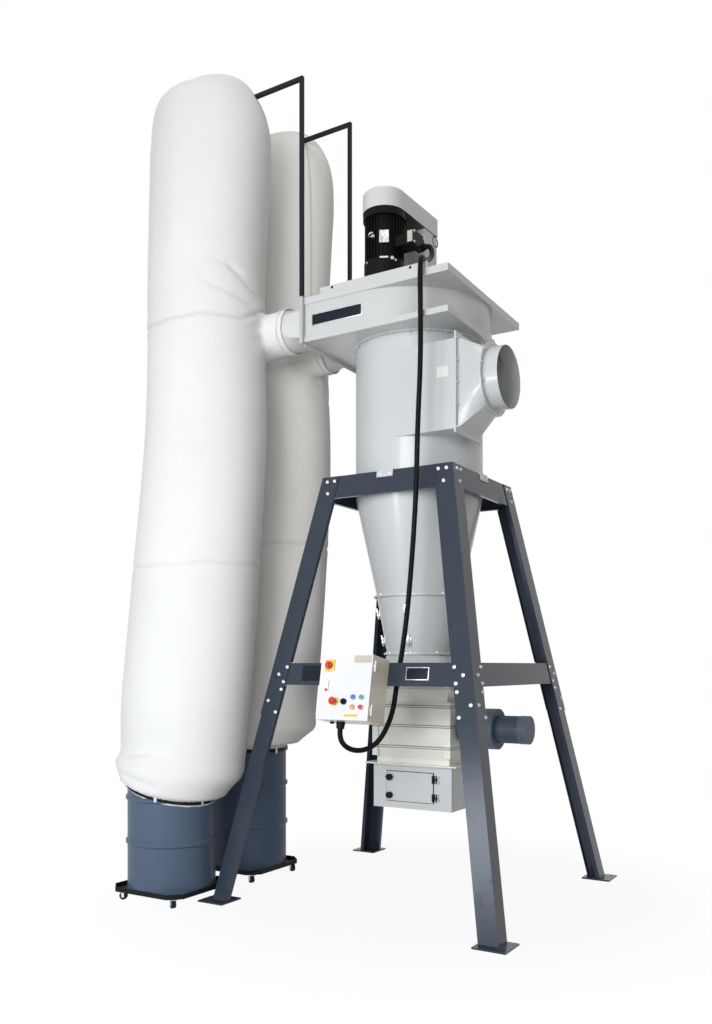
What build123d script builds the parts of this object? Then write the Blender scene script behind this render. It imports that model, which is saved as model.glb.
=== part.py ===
"""Cyclone separator plant: cyclone on a splayed stand, belt-driven fan on top, rotary airlock and
discharge box below, and two tall filter bags over drums beside it. Millimetres, +Z up, origin on the
floor under the cyclone's axis, +X towards the inlet and the airlock's gear motor, -Y the front."""

import math
import os

from build123d import *

os.makedirs("parts", exist_ok=True)

# Shared allowances
overrun = 20.0  # how far a cut runs past the faces that it opens
curved_gap = 0.3  # between curved faces that nest in each other
moving_gap = 5.0  # between a moving piece and its neighbours

# Stand
stand_foot_half = 984.0  # outer faces from the axis, at the floor
stand_top_clearance = 42.6  # from the barrel's skin to the outer faces, at the top
stand_top_z = 2737.0
leg_flange = 130.0
leg_sheet = 5.0
leg_lip = 28.0
splice_z = 1190.0  # lower end of the upper legs
lower_leg_top_z = 1372.0
foot_thickness = 10.0
foot_overhang = 60.0
foot_inside = 135.0
anchor_offset = 30.0  # anchor hole out from the leg's corner, both ways
anchor_hole_radius = 9.0
rail_sheet = 4.0
mid_rail_low = 1380.0
mid_rail_high = 1520.0
mid_rail_depth = 45.0
top_rail_height = 147.0
top_rail_depth = 25.0
rail_end_inset = 62.0
notch_gap = 4.0

# Cyclone shell
shell_sheet = 4.0
barrel_radius = 426.4
barrel_low_z = 2625.0
barrel_high_z = 3612.0
barrel_flange = 30.0
ring_width = 22.0
ring_sheet = 6.0
cone_joint_radius = 284.0
cone_joint_z = 1964.0
cone_low_radius = 215.5
cone_low_z = 1582.0
lug_width = 116.0
lug_sheet = 6.0
lug_tab = 42.0
vortex_radius = 230.0
vortex_low_z = 2850.0
vortex_sheet = 3.0

# Airlock and discharge box
valve_x = 12.0
valve_half_length = 290.0
valve_half_depth = 135.0
valve_flange_z = 1345.0
valve_flange_sheet = 8.0
valve_flange_half_length = 302.0
valve_flange_half_depth = 165.0
throat_half_length = 282.0
throat_half_depth = 150.0
neck_half_length = 250.0
neck_half_depth = 118.0
neck_z = 1264.0
valve_shoulder_z = 1238.0
valve_waist_z = 945.0
valve_skirt_z = 885.0
valve_low_z = 845.0
end_plate_length = 42.0
end_plate_proud = 15.0
end_plate_low_z = 900.0
seam_heights = (1230.0, 1100.0, 960.0)
seam_proud = 6.0
seam_height = 9.0
skirt_half_length = 340.0
skirt_half_depth = 170.0
rotor_z = 1095.0
box_low_z = 553.0
box_half_depth = 130.0
box_sheet = 4.0
door_left_x = -175.0
door_right_x = 171.0
door_low_z = 602.0
door_high_z = 797.0
door_sheet = 3.0
door_lap = 10.0  # door beyond its opening, all round
door_hinge_out = 10.0  # hinge pin beyond the door's edge
door_hinge_proud = 12.0  # hinge pin in front of the box
door_fitting_heights = (759.0, 639.0)
hinge_height = 50.0
hinge_radius = 7.0
hinge_pin_radius = 4.0
hinge_leaf = 34.0
hinge_leaf_sheet = 3.0
knob_inset = 28.0
knob_radius = 16.0
knob_height = 24.0

# Gear motor on the airlock's end
gearbox_hub_radius = 75.0
gearbox_hub_length = 33.0
gearbox_radius = 105.0
gearbox_length = 155.0
gearbox_flange_radius = 131.0
gearbox_flange_length = 85.0
gear_motor_radius = 76.0
gear_motor_length = 150.0
gear_motor_fin = 12.0
gear_motor_fin_sheet = 3.0
gear_motor_fin_count = 24
gear_motor_hood_radius = 90.0
gear_motor_hood_length = 60.0

# Tangential inlet
inlet_width = 320.0
inlet_low_z = 2950.0
inlet_high_z = 3500.0
inlet_sheet = 3.0
inlet_end_x = 480.0
inlet_flange_width = 32.0
inlet_flange_sheet = 6.0
inlet_cut_start_x = 60.0
collar_z = 3257.0
collar_radius = 190.0
collar_ring_radius = 225.0
collar_ring_x = 660.0
collar_end_x = 750.0

# Fan housing
tray_left_x = -543.0
tray_right_x = 489.0
tray_half_depth = 575.0
tray_sheet = 5.0
base_lip = 36.0
base_back_y = 140.0  # the base's square part ends here, behind it the base follows the volute
lid_z = 3855.0
lid_lip = 45.0
scroll_sheet = 4.0
scroll_front_gap = 8.0  # the scroll's front wall, behind the trays' front edges
scroll_right_x = 474.0
scroll_first_radius = 590.0
scroll_step = 90.0  # each quarter of the volute has a radius smaller by this
outlet_back_y = 90.0
shaft_hole_radius = 70.0
slide_rail_left_x = -424.0
slide_rail_right_x = 350.0
slide_rail_top_z = 3942.0
slide_rail_holes_x = (-332.0, 233.0)
slide_rail_hole_radius = 6.0
slide_rail_hole_drop = 15.0

# Drive
motor_x = -60.0
motor_from_front = 206.0  # the motor's axis, behind the lid's front edge
shaft_x = -44.0  # the fan's shaft, level with the barrel's axis in depth
motor_plate = 300.0
motor_plate_sheet = 12.0
motor_bell_radius = 131.0
motor_bell_top_z = 4081.0
motor_core_radius = 112.0
motor_fin = 15.0
motor_fin_sheet = 4.0
motor_fin_count = 32
motor_core_top_z = 4354.0
motor_cap_radius = 138.0
guard_low_z = 4400.0
guard_high_z = 4528.0
guard_radius = 140.0
guard_tail = 84.0  # squared end beyond the fan shaft
guard_edge = 18.0
terminal_left_x = 143.0
terminal_right_x = 187.5
terminal_half_depth = 77.0
terminal_low_z = 4139.0
terminal_high_z = 4229.0
terminal_neck_half_depth = 58.0
terminal_neck_inset = 12.0  # the neck behind the box, in from its top and bottom
terminal_gland_radius = 22.0
terminal_gland_length = 12.0
terminal_gland_back = 66.0  # behind the motor's axis
terminal_gland_rise = 24.0  # above the box's underside
bearing_radius = 58.0
bearing_collar_radius = 70.0
bearing_collar_height = 60.0
stand_box_inset = 5.0  # the stand's walls, in from the guard's sides
stand_box_sheet = 6.0

# Outlet to the bags
outlet_flange_sheet = 8.0
outlet_flange_low_z = 3585.0
outlet_flange_high_z = 3900.0
outlet_sheet = 3.0
branch_z = 3740.0
branch_height = 196.0
branch_spacing = 470.0
branch_radius = 137.0
branch_taper_x = -700.0
branch_end_x = -790.0

# Bags, bands and hangers
bag_x = -1280.0
bag_spacing = 795.0
bag_half_depth = 366.0
bag_outline_points = 12
bag_heights = (
    *(700.0, 770.0, 945.0, 1275.0, 1750.0, 2216.0, 2767.0, 3181.0, 3659.0),
    *(4071.0, 4771.0, 5000.0, 5200.0, 5340.0, 5440.0, 5500.0, 5525.0),
)
bag_leans = (
    *(0.0, 30.0, 108.0, 130.0, 188.0, 245.0, 311.0, 337.0, 337.0),
    *(342.0, 379.0, 387.0, 394.0, 399.0, 403.0, 405.0, 406.0),
)
bag_width_shares = (
    *(0.81, 1.02, 1.20, 1.26, 1.26, 1.25, 1.23, 1.19, 1.13),
    *(1.14, 1.20, 1.20, 1.14, 1.00, 0.80, 0.50, 0.22),
)
bag_depth_shares = (
    *(0.81, 0.95, 1.0, 1.0, 1.0, 1.0, 1.0, 1.0, 0.99),
    *(1.0, 1.0, 1.0, 0.97, 0.86, 0.54, 0.30, 0.15),
)
back_hem_rise = 180.0  # how much higher the back bag's hem hangs on its drum
hem_rise_shares = (1.0, 0.93, 0.70, *([0.0] * 14))
sleeve_end_x = -700.0
sleeve_cloth = 5.0
sleeve_root_x = -1200.0
band_from_end = 8.0
band_width = 28.0
band_sheet = 4.0
post_size = 24.0
post_x = -560.0
back_post_y = 8.0
hanger_rise = 1440.0  # top of the hangers' arms above the outlet's flange
arm_end_x = -1000.0
front_post_low_z = 3600.0

# Drums, dollies and casters
drum_front_y = -1024.0
drum_spacing = 790.0
drum_radius = 281.5
drum_sheet = 3.0
drum_high_z = 905.0
drum_hoop = 11.0
drum_hoop_height = 40.0
drum_hoop_flat = 18.0
drum_hoop_heights = (380.0, 660.0)
dolly_half = 290.0
dolly_corner = 75.0
dolly_sheet = 5.0
dolly_rim = 30.0
dolly_rim_sheet = 4.0
caster_half = 228.0
caster_trail = 18.0
wheel_radius = 25.0
wheel_width = 22.0
wheel_hub_radius = 9.0
axle_radius = 4.0
fork_sheet = 3.0
fork_crown = 4.0
fork_crown_radius = 22.0
fork_half_width = 9.0
swivel_boss_radius = 16.0
caster_angles = (25.0, 160.0, 250.0, 335.0)

# Control cabinet
cabinet_left_x = -200.0
cabinet_right_x = 156.0
cabinet_z = 1340.0
cabinet_height = 392.0
cabinet_depth = 168.0
cabinet_sheet = 3.0
cabinet_door_depth = 22.0
cabinet_hinge_out = 7.0
cabinet_hinge_radius = 5.5
cabinet_pin_radius = 3.0
cabinet_hinge_heights = (130.0, -130.0)
cabinet_hinge_length = 64.0
cabinet_leaf = 24.0
switch_plate = 64.0
switch_plate_sheet = 5.0
switch_knob_radius = 20.0
switch_knob_height = 26.0
switch_place_shares = (-0.32, 0.33)
button_places_shares = ((-0.16, -0.22), (0.02, -0.22), (0.20, -0.15), (0.36, -0.15), (0.20, -0.30), (0.36, -0.30))
button_radius = 13.0
button_height = 14.0
gland_x = -85.0
gland_out = 95.0
gland_radius = 24.0
gland_length = 40.0

# Conduit from the motor's terminal box down to the cabinet's gland
conduit_radius = 16.0
terminal_lead = 22.0  # straight run out of the terminal box's gland
conduit_lead = 60.0  # straight run into the cabinet's gland
bend_share = 0.45  # of the shorter run that a bend takes up
conduit_points = (
    (240.0, -305.0, 4149.0),
    (254.0, -313.0, 4116.0),
    (263.0, -333.0, 4083.0),
    (269.0, -366.0, 4049.0),
    (275.0, -412.0, 4021.0),
    (290.0, -475.0, 3993.0),
    (311.0, -540.0, 3970.0),
    (326.0, -604.0, 3960.0),
    (325.0, -618.0, 3885.0),
    (321.0, -604.0, 3680.0),
    (319.0, -598.0, 3330.0),
    (303.0, -606.0, 2960.0),
    (289.0, -597.0, 2560.0),
    (266.0, -606.0, 2160.0),
    (221.0, -600.0, 1740.0),
    (160.0, -606.0, 1385.0),
    (141.0, -622.0, 1214.0),
    (101.0, -660.0, 1087.0),
    (54.0, -700.0, 1014.0),
    (-5.0, -765.0, 985.0),
    (-58.0, -830.0, 1004.0),
)

# Worked-out places that several pieces share
stand_top_half = barrel_radius + stand_top_clearance
lean = (stand_foot_half - stand_top_half) / stand_top_z
top_rail_low = stand_top_z - top_rail_height
scroll_front_y = scroll_front_gap - tray_half_depth
motor_y = motor_from_front - tray_half_depth
hanger_top_z = outlet_flange_high_z + hanger_rise
slant = math.sqrt(1 + 2 * lean**2)
inlet_y = -barrel_radius + inlet_width / 2
inlet_z = (inlet_low_z + inlet_high_z) / 2
inlet_height = inlet_high_z - inlet_low_z
base_top_z = barrel_high_z + tray_sheet
lid_top_z = lid_z + tray_sheet
valve_end_x = valve_x + valve_half_length
outlet_y = (scroll_front_y + outlet_back_y) / 2
outlet_width = outlet_back_y - scroll_front_y
branch_places_y = (outlet_y - branch_spacing / 2, outlet_y + branch_spacing / 2)
sides = {"front": (0, -1), "back": (0, 1), "left": (-1, 0), "right": (1, 0)}
corners = {
    "front_left": (-1, -1),
    "front_right": (1, -1),
    "back_left": (-1, 1),
    "back_right": (1, 1),
}


def half_at(z):
    """Distance of the stand's leaning outer faces from the axis at height z."""
    return stand_foot_half - lean * z


def rail_face(z):
    """Distance of a rail's outer face from the axis at height z, behind the leg flanges."""
    return half_at(z) - leg_sheet


def side_plane(out_x, out_y):
    """Upright section plane through the axis: its x runs outwards on that side and its y runs up."""
    return Plane(origin=(0, 0, 0), x_dir=(out_x, out_y, 0), z_dir=(out_y, -out_x, 0))


def lipped_angle(corner, flange, side_x, side_y):
    """Outline of a folded angle with return lips, its outer corner at (corner, corner)."""
    tip = corner - flange
    outline = [
        (corner, corner),
        (tip, corner),
        (tip, corner - leg_lip),
        (tip + leg_sheet, corner - leg_lip),
        (tip + leg_sheet, corner - leg_sheet),
        (corner - leg_sheet, corner - leg_sheet),
        (corner - leg_sheet, tip + leg_sheet),
        (corner - leg_lip, tip + leg_sheet),
        (corner - leg_lip, tip),
        (corner, tip),
    ]
    return [(side_x * x, side_y * y) for x, y in outline]


def rail_section(low, high, depth):
    """Outline of a leaning channel rail: distance out from the axis, and height."""
    return [
        (rail_face(low), low),
        (rail_face(high), high),
        (rail_face(high) - depth, high),
        (rail_face(high) - depth, high - rail_sheet),
        (rail_face(high - rail_sheet) - rail_sheet, high - rail_sheet),
        (rail_face(low + rail_sheet) - rail_sheet, low + rail_sheet),
        (rail_face(low) - depth, low + rail_sheet),
        (rail_face(low) - depth, low),
    ]


def cone_radius(z):
    """Outer radius of the two cones at height z."""
    if z >= cone_joint_z:
        share = (z - cone_joint_z) / (barrel_low_z - cone_joint_z)
        return cone_joint_radius + share * (barrel_radius - cone_joint_radius)
    share = (z - cone_low_z) / (cone_joint_z - cone_low_z)
    return cone_low_radius + share * (cone_joint_radius - cone_low_radius)


# Lower legs: nested inside the upper ones, each with its foot plate
for corner_name, (side_x, side_y) in corners.items():
    lean_direction = (-side_x * lean, -side_y * lean, 1)
    with BuildPart() as lower_leg:
        with BuildSketch(Plane.XY):
            plate_size = foot_overhang + foot_inside
            plate_centre = stand_foot_half + foot_overhang - plate_size / 2
            with Locations((side_x * plate_centre, side_y * plate_centre)):
                Rectangle(plate_size, plate_size)
            anchor = stand_foot_half + anchor_offset
            with Locations((side_x * anchor, side_y * anchor)):
                Circle(anchor_hole_radius, mode=Mode.SUBTRACT)
        extrude(amount=foot_thickness)
        with BuildSketch(Plane.XY.offset(foot_thickness)):
            with BuildLine():
                corner = half_at(foot_thickness) - leg_sheet
                nested_flange = leg_flange - 2 * leg_sheet
                Polyline(*lipped_angle(corner, nested_flange, side_x, side_y), close=True)
            make_face()
        extrude(amount=(lower_leg_top_z - foot_thickness) * slant, dir=lean_direction)
    lower_leg.part.label = f"lower_leg_{corner_name}"
    export_step(lower_leg.part, f"parts/lower_leg_{corner_name}.step")

# Upper legs: their lips are notched where the rails run behind the flanges
for corner_name, (side_x, side_y) in corners.items():
    lean_direction = (-side_x * lean, -side_y * lean, 1)
    with BuildPart() as upper_leg:
        with BuildSketch(Plane.XY.offset(splice_z)):
            with BuildLine():
                Polyline(*lipped_angle(half_at(splice_z), leg_flange, side_x, side_y), close=True)
            make_face()
        extrude(amount=(stand_top_z - splice_z) * slant, dir=lean_direction)
        for low, high in ((mid_rail_low, mid_rail_high), (top_rail_low, stand_top_z)):
            notch_low = low - notch_gap
            notch_height = high + notch_gap - notch_low
            lip_place = half_at(notch_low) - leg_flange + leg_sheet / 2
            lip_depth = half_at(notch_low) - leg_sheet - leg_lip / 2
            with BuildSketch(Plane.XY.offset(notch_low)):
                with Locations((side_x * lip_place, side_y * lip_depth)):
                    Rectangle(leg_sheet + overrun, leg_lip)
                with Locations((side_x * lip_depth, side_y * lip_place)):
                    Rectangle(leg_lip, leg_sheet + overrun)
            extrude(amount=notch_height * slant, dir=lean_direction, mode=Mode.SUBTRACT)
    upper_leg.part.label = f"upper_leg_{corner_name}"
    export_step(upper_leg.part, f"parts/upper_leg_{corner_name}.step")

# Middle rails: one leaning channel on each side
for side_name, (out_x, out_y) in sides.items():
    with BuildPart() as mid_rail:
        with BuildSketch(side_plane(out_x, out_y)):
            with BuildLine():
                Polyline(*rail_section(mid_rail_low, mid_rail_high, mid_rail_depth), close=True)
            make_face()
        extrude(amount=rail_face(mid_rail_high) - rail_end_inset, both=True)
    mid_rail.part.label = f"mid_rail_{side_name}"
    export_step(mid_rail.part, f"parts/mid_rail_{side_name}.step")

# Top rails: four channels that carry the barrel's lugs
with BuildPart() as top_rails:
    for out_x, out_y in sides.values():
        with BuildSketch(side_plane(out_x, out_y)):
            with BuildLine():
                Polyline(*rail_section(top_rail_low, stand_top_z, top_rail_depth), close=True)
            make_face()
        extrude(amount=rail_face(stand_top_z) - rail_end_inset, both=True)
top_rails.part.label = "top_rails"
export_step(top_rails.part, "parts/top_rails.step")

# Barrel: rolled shell with a top flange, four lugs over the top rails and the inlet's window
with BuildPart() as barrel:
    with BuildSketch(Plane.XZ):
        with BuildLine():
            Polyline(
                (0, barrel_low_z),
                (barrel_radius, barrel_low_z),
                (barrel_radius, barrel_high_z - ring_sheet),
                (barrel_radius + barrel_flange, barrel_high_z - ring_sheet),
                (barrel_radius + barrel_flange, barrel_high_z),
                (0, barrel_high_z),
                close=True,
            )
        make_face()
    revolve(axis=Axis.Z)
    for out_x, out_y in sides.values():
        tab_z = stand_top_z - lug_tab
        with BuildSketch(side_plane(out_x, out_y)):
            with BuildLine():
                Polyline(
                    (barrel_radius / 2, stand_top_z),
                    (rail_face(stand_top_z), stand_top_z),
                    (rail_face(tab_z), tab_z),
                    (rail_face(tab_z) + lug_sheet, tab_z),
                    (rail_face(stand_top_z) + lug_sheet, stand_top_z + lug_sheet),
                    (barrel_radius / 2, stand_top_z + lug_sheet),
                    close=True,
                )
            make_face()
        extrude(amount=lug_width / 2, both=True)
    with BuildSketch(Plane.XY.offset(barrel_low_z - overrun)):
        Circle(barrel_radius - shell_sheet)
    extrude(amount=barrel_high_z - barrel_low_z + 2 * overrun, mode=Mode.SUBTRACT)
    with BuildSketch(Plane.YZ.offset(inlet_cut_start_x)):
        with Locations((inlet_y, inlet_z)):
            Rectangle(inlet_width - 2 * inlet_sheet, inlet_height - 2 * inlet_sheet)
    extrude(amount=barrel_radius, mode=Mode.SUBTRACT)
barrel.part.label = "barrel"
export_step(barrel.part, "parts/barrel.step")

# Upper cone, welded to the barrel, with its ring flange at the bottom
with BuildPart() as upper_cone:
    with BuildSketch(Plane.XZ):
        with BuildLine():
            Polyline(
                (barrel_radius - shell_sheet, barrel_low_z),
                (barrel_radius, barrel_low_z),
                (cone_radius(cone_joint_z + ring_sheet), cone_joint_z + ring_sheet),
                (cone_joint_radius + ring_width, cone_joint_z + ring_sheet),
                (cone_joint_radius + ring_width, cone_joint_z),
                (cone_joint_radius - shell_sheet, cone_joint_z),
                close=True,
            )
        make_face()
    revolve(axis=Axis.Z)
upper_cone.part.label = "upper_cone"
export_step(upper_cone.part, "parts/upper_cone.step")

# Lower cone, with a ring flange at each end
with BuildPart() as lower_cone:
    with BuildSketch(Plane.XZ):
        with BuildLine():
            Polyline(
                (cone_joint_radius - shell_sheet, cone_joint_z),
                (cone_joint_radius + ring_width, cone_joint_z),
                (cone_joint_radius + ring_width, cone_joint_z - ring_sheet),
                (cone_radius(cone_joint_z - ring_sheet), cone_joint_z - ring_sheet),
                (cone_radius(cone_low_z + ring_sheet), cone_low_z + ring_sheet),
                (cone_low_radius + ring_width, cone_low_z + ring_sheet),
                (cone_low_radius + ring_width, cone_low_z),
                (cone_low_radius - shell_sheet, cone_low_z),
                close=True,
            )
        make_face()
    revolve(axis=Axis.Z)
lower_cone.part.label = "lower_cone"
export_step(lower_cone.part, "parts/lower_cone.step")

# Hopper: from the lower cone's round end to the airlock's rectangular flange
with BuildPart() as hopper:
    hopper_flange_top_z = valve_flange_z + valve_flange_sheet
    with BuildSketch(Plane.XY.offset(cone_low_z - ring_sheet)):
        Circle(cone_low_radius)
    with BuildSketch(Plane.XY.offset(hopper_flange_top_z)):
        with Locations((valve_x, 0)):
            Rectangle(2 * throat_half_length, 2 * throat_half_depth)
    loft()
    with BuildSketch(Plane.XY.offset(cone_low_z - ring_sheet)):
        Circle(cone_low_radius + ring_width)
    extrude(amount=ring_sheet)
    with BuildSketch(Plane.XY.offset(valve_flange_z)):
        with Locations((valve_x, 0)):
            Rectangle(2 * valve_flange_half_length, 2 * valve_flange_half_depth)
    extrude(amount=valve_flange_sheet)
    with BuildSketch(Plane.XY.offset(cone_low_z - ring_sheet)):
        Circle(cone_low_radius - shell_sheet)
    with BuildSketch(Plane.XY.offset(hopper_flange_top_z)):
        with Locations((valve_x, 0)):
            Rectangle(2 * (throat_half_length - shell_sheet), 2 * (throat_half_depth - shell_sheet))
    loft(mode=Mode.SUBTRACT)
    with BuildSketch(Plane.XY.offset(cone_low_z - ring_sheet)):
        Circle(cone_low_radius - shell_sheet)
    extrude(amount=ring_sheet, mode=Mode.SUBTRACT)
    with BuildSketch(Plane.XY.offset(valve_flange_z)):
        with Locations((valve_x, 0)):
            Rectangle(2 * (throat_half_length - shell_sheet), 2 * (throat_half_depth - shell_sheet))
    extrude(amount=valve_flange_sheet, mode=Mode.SUBTRACT)
hopper.part.label = "hopper"
export_step(hopper.part, "parts/hopper.step")

# Vortex tube: the clean-air pipe that hangs from the fan's tray into the barrel
with BuildPart() as vortex_tube:
    with BuildSketch(Plane.XY.offset(vortex_low_z)):
        Circle(vortex_radius)
        Circle(vortex_radius - vortex_sheet, mode=Mode.SUBTRACT)
    extrude(amount=barrel_high_z - vortex_low_z)
vortex_tube.part.label = "vortex_tube"
export_step(vortex_tube.part, "parts/vortex_tube.step")

# Inlet duct: rectangular tube scribed to the barrel, with a flange at its outer end
with BuildPart() as inlet_duct:
    with BuildSketch(Plane.YZ):
        with Locations((inlet_y, inlet_z)):
            Rectangle(inlet_width, inlet_height)
    extrude(amount=inlet_end_x)
    with BuildSketch(Plane.YZ.offset(inlet_end_x - inlet_flange_sheet)):
        with Locations((inlet_y, inlet_z)):
            Rectangle(inlet_width + 2 * inlet_flange_width, inlet_height + 2 * inlet_flange_width)
    extrude(amount=inlet_flange_sheet)
    with BuildSketch(Plane.YZ.offset(-overrun)):
        with Locations((inlet_y, inlet_z)):
            Rectangle(inlet_width - 2 * inlet_sheet, inlet_height - 2 * inlet_sheet)
    extrude(amount=inlet_end_x + 2 * overrun, mode=Mode.SUBTRACT)
    with BuildSketch(Plane.XY.offset(inlet_low_z - overrun)):
        Circle(barrel_radius + curved_gap)
    extrude(amount=inlet_height + 2 * overrun, mode=Mode.SUBTRACT)
inlet_duct.part.label = "inlet_duct"
export_step(inlet_duct.part, "parts/inlet_duct.step")

# Inlet transition: rectangular flange, rectangular-to-round body, ring flange and open collar
with BuildPart() as inlet_transition:
    taper_start_x = inlet_end_x + inlet_flange_sheet
    with BuildSketch(Plane.YZ.offset(taper_start_x)):
        with Locations((inlet_y, inlet_z)):
            Rectangle(inlet_width, inlet_height)
    with BuildSketch(Plane.YZ.offset(collar_ring_x)):
        with Locations((inlet_y, collar_z)):
            Circle(collar_radius)
    loft()
    with BuildSketch(Plane.YZ.offset(inlet_end_x)):
        with Locations((inlet_y, inlet_z)):
            Rectangle(inlet_width + 2 * inlet_flange_width, inlet_height + 2 * inlet_flange_width)
    extrude(amount=inlet_flange_sheet)
    with BuildSketch(Plane.YZ.offset(collar_ring_x - ring_sheet)):
        with Locations((inlet_y, collar_z)):
            Circle(collar_ring_radius)
    extrude(amount=ring_sheet)
    with BuildSketch(Plane.YZ.offset(collar_ring_x)):
        with Locations((inlet_y, collar_z)):
            Circle(collar_radius)
    extrude(amount=collar_end_x - collar_ring_x)
    with BuildSketch(Plane.YZ.offset(taper_start_x)):
        with Locations((inlet_y, inlet_z)):
            Rectangle(inlet_width - 2 * inlet_sheet, inlet_height - 2 * inlet_sheet)
    with BuildSketch(Plane.YZ.offset(collar_ring_x)):
        with Locations((inlet_y, collar_z)):
            Circle(collar_radius - inlet_sheet)
    loft(mode=Mode.SUBTRACT)
    with BuildSketch(Plane.YZ.offset(inlet_end_x)):
        with Locations((inlet_y, inlet_z)):
            Rectangle(inlet_width - 2 * inlet_sheet, inlet_height - 2 * inlet_sheet)
    extrude(amount=inlet_flange_sheet, mode=Mode.SUBTRACT)
    with BuildSketch(Plane.YZ.offset(collar_ring_x)):
        with Locations((inlet_y, collar_z)):
            Circle(collar_radius - inlet_sheet)
    extrude(amount=collar_end_x - collar_ring_x, mode=Mode.SUBTRACT)
inlet_transition.part.label = "inlet_transition"
export_step(inlet_transition.part, "parts/inlet_transition.step")

# Airlock: folded housing with proud end plates, a tapered neck and a wide bottom flange
with BuildPart() as airlock:
    with BuildSketch(Plane.YZ.offset(valve_x)):
        with BuildLine():
            Polyline(
                (-neck_half_depth, neck_z),
                (-valve_half_depth, valve_shoulder_z),
                (-valve_half_depth, valve_waist_z),
                (-neck_half_depth, valve_skirt_z),
                (-neck_half_depth, valve_low_z),
                (neck_half_depth, valve_low_z),
                (neck_half_depth, valve_skirt_z),
                (valve_half_depth, valve_waist_z),
                (valve_half_depth, valve_shoulder_z),
                (neck_half_depth, neck_z),
                close=True,
            )
        make_face()
    extrude(amount=valve_half_length - end_plate_length / 2, both=True)
    with BuildSketch(Plane.XY.offset(neck_z)):
        with Locations((valve_x, 0)):
            Rectangle(2 * neck_half_length, 2 * neck_half_depth)
    with BuildSketch(Plane.XY.offset(valve_flange_z - valve_flange_sheet)):
        with Locations((valve_x, 0)):
            Rectangle(2 * throat_half_length, 2 * throat_half_depth)
    loft()
    with BuildSketch(Plane.XY.offset(valve_flange_z - valve_flange_sheet)):
        with Locations((valve_x, 0)):
            Rectangle(2 * valve_flange_half_length, 2 * valve_flange_half_depth)
    extrude(amount=valve_flange_sheet)
    with BuildSketch(Plane.XY.offset(valve_low_z)):
        with Locations((valve_x, 0)):
            Rectangle(2 * skirt_half_length, 2 * skirt_half_depth)
    extrude(amount=valve_flange_sheet)
    with BuildSketch(Plane.XY.offset(end_plate_low_z)):
        end_plate_x = valve_half_length - end_plate_length / 2
        with Locations((valve_x - end_plate_x, 0), (valve_x + end_plate_x, 0)):
            Rectangle(end_plate_length, 2 * (valve_half_depth + end_plate_proud))
    extrude(amount=neck_z - end_plate_low_z)
    for height in seam_heights:
        with BuildSketch(Plane.XY.offset(height)):
            with Locations((valve_x, 0)):
                Rectangle(2 * valve_half_length - end_plate_length, 2 * (valve_half_depth + seam_proud))
        extrude(amount=seam_height)
airlock.part.label = "airlock"
export_step(airlock.part, "parts/airlock.step")

# Gear motor: turned housings on the rotor's axis, with cooling fins and a fan hood
gear_profile = (
    (gearbox_hub_radius, gearbox_hub_length),
    (gearbox_radius, gearbox_length),
    (gearbox_flange_radius, gearbox_flange_length),
    (gear_motor_radius, gear_motor_length),
    (gear_motor_hood_radius, gear_motor_hood_length),
)
with BuildPart() as gearmotor:
    step_x = valve_end_x
    for step_radius, step_length in gear_profile:
        with BuildSketch(Plane.YZ.offset(step_x)):
            with Locations((0, rotor_z)):
                Circle(step_radius)
        extrude(amount=step_length)
        step_x += step_length
    fin_x = step_x - gear_motor_hood_length - gear_motor_length
    with BuildSketch(Plane.YZ.offset(fin_x)):
        with Locations((0, rotor_z)):
            with PolarLocations(gear_motor_radius, gear_motor_fin_count):
                Rectangle(2 * gear_motor_fin, gear_motor_fin_sheet)
    extrude(amount=gear_motor_length)
gearmotor.part.label = "gearmotor"
export_step(gearmotor.part, "parts/gearmotor.step")

# Discharge box: open below, with the inspection doorway and the fixed halves of its hinges
door_hinge_x = door_right_x + door_hinge_out
door_hinge_y = -box_half_depth - door_hinge_proud
hinge_knuckle = hinge_height / 3
with BuildPart() as discharge_box:
    with BuildSketch(Plane.XY.offset(box_low_z)):
        with Locations((valve_x, 0)):
            Rectangle(2 * valve_half_length, 2 * box_half_depth)
            Rectangle(
                2 * (valve_half_length - box_sheet),
                2 * (box_half_depth - box_sheet),
                mode=Mode.SUBTRACT,
            )
    extrude(amount=valve_low_z - box_low_z)
    with BuildSketch(Plane.XZ.offset(box_half_depth - 2 * box_sheet)):
        with Locations(((door_left_x + door_right_x) / 2, (door_low_z + door_high_z) / 2)):
            Rectangle(
                door_right_x - door_left_x - 2 * door_lap, door_high_z - door_low_z - 2 * door_lap
            )
    extrude(amount=overrun, mode=Mode.SUBTRACT)
    for height in door_fitting_heights:
        low = height - hinge_height / 2
        for knuckle_low in (low, low + 2 * hinge_knuckle):
            with BuildSketch(Plane.XY.offset(knuckle_low)):
                with Locations((door_hinge_x, door_hinge_y)):
                    Circle(hinge_radius)
                with Locations((door_hinge_x + hinge_leaf / 2, door_hinge_y / 2 - box_half_depth / 2)):
                    Rectangle(hinge_leaf, door_hinge_proud)
            extrude(amount=hinge_knuckle)
        with BuildSketch(Plane.XY.offset(low)):
            with Locations((door_hinge_x, door_hinge_y)):
                Circle(hinge_pin_radius)
        extrude(amount=hinge_height)
discharge_box.part.label = "discharge_box"
export_step(discharge_box.part, "parts/discharge_box.step")

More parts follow.
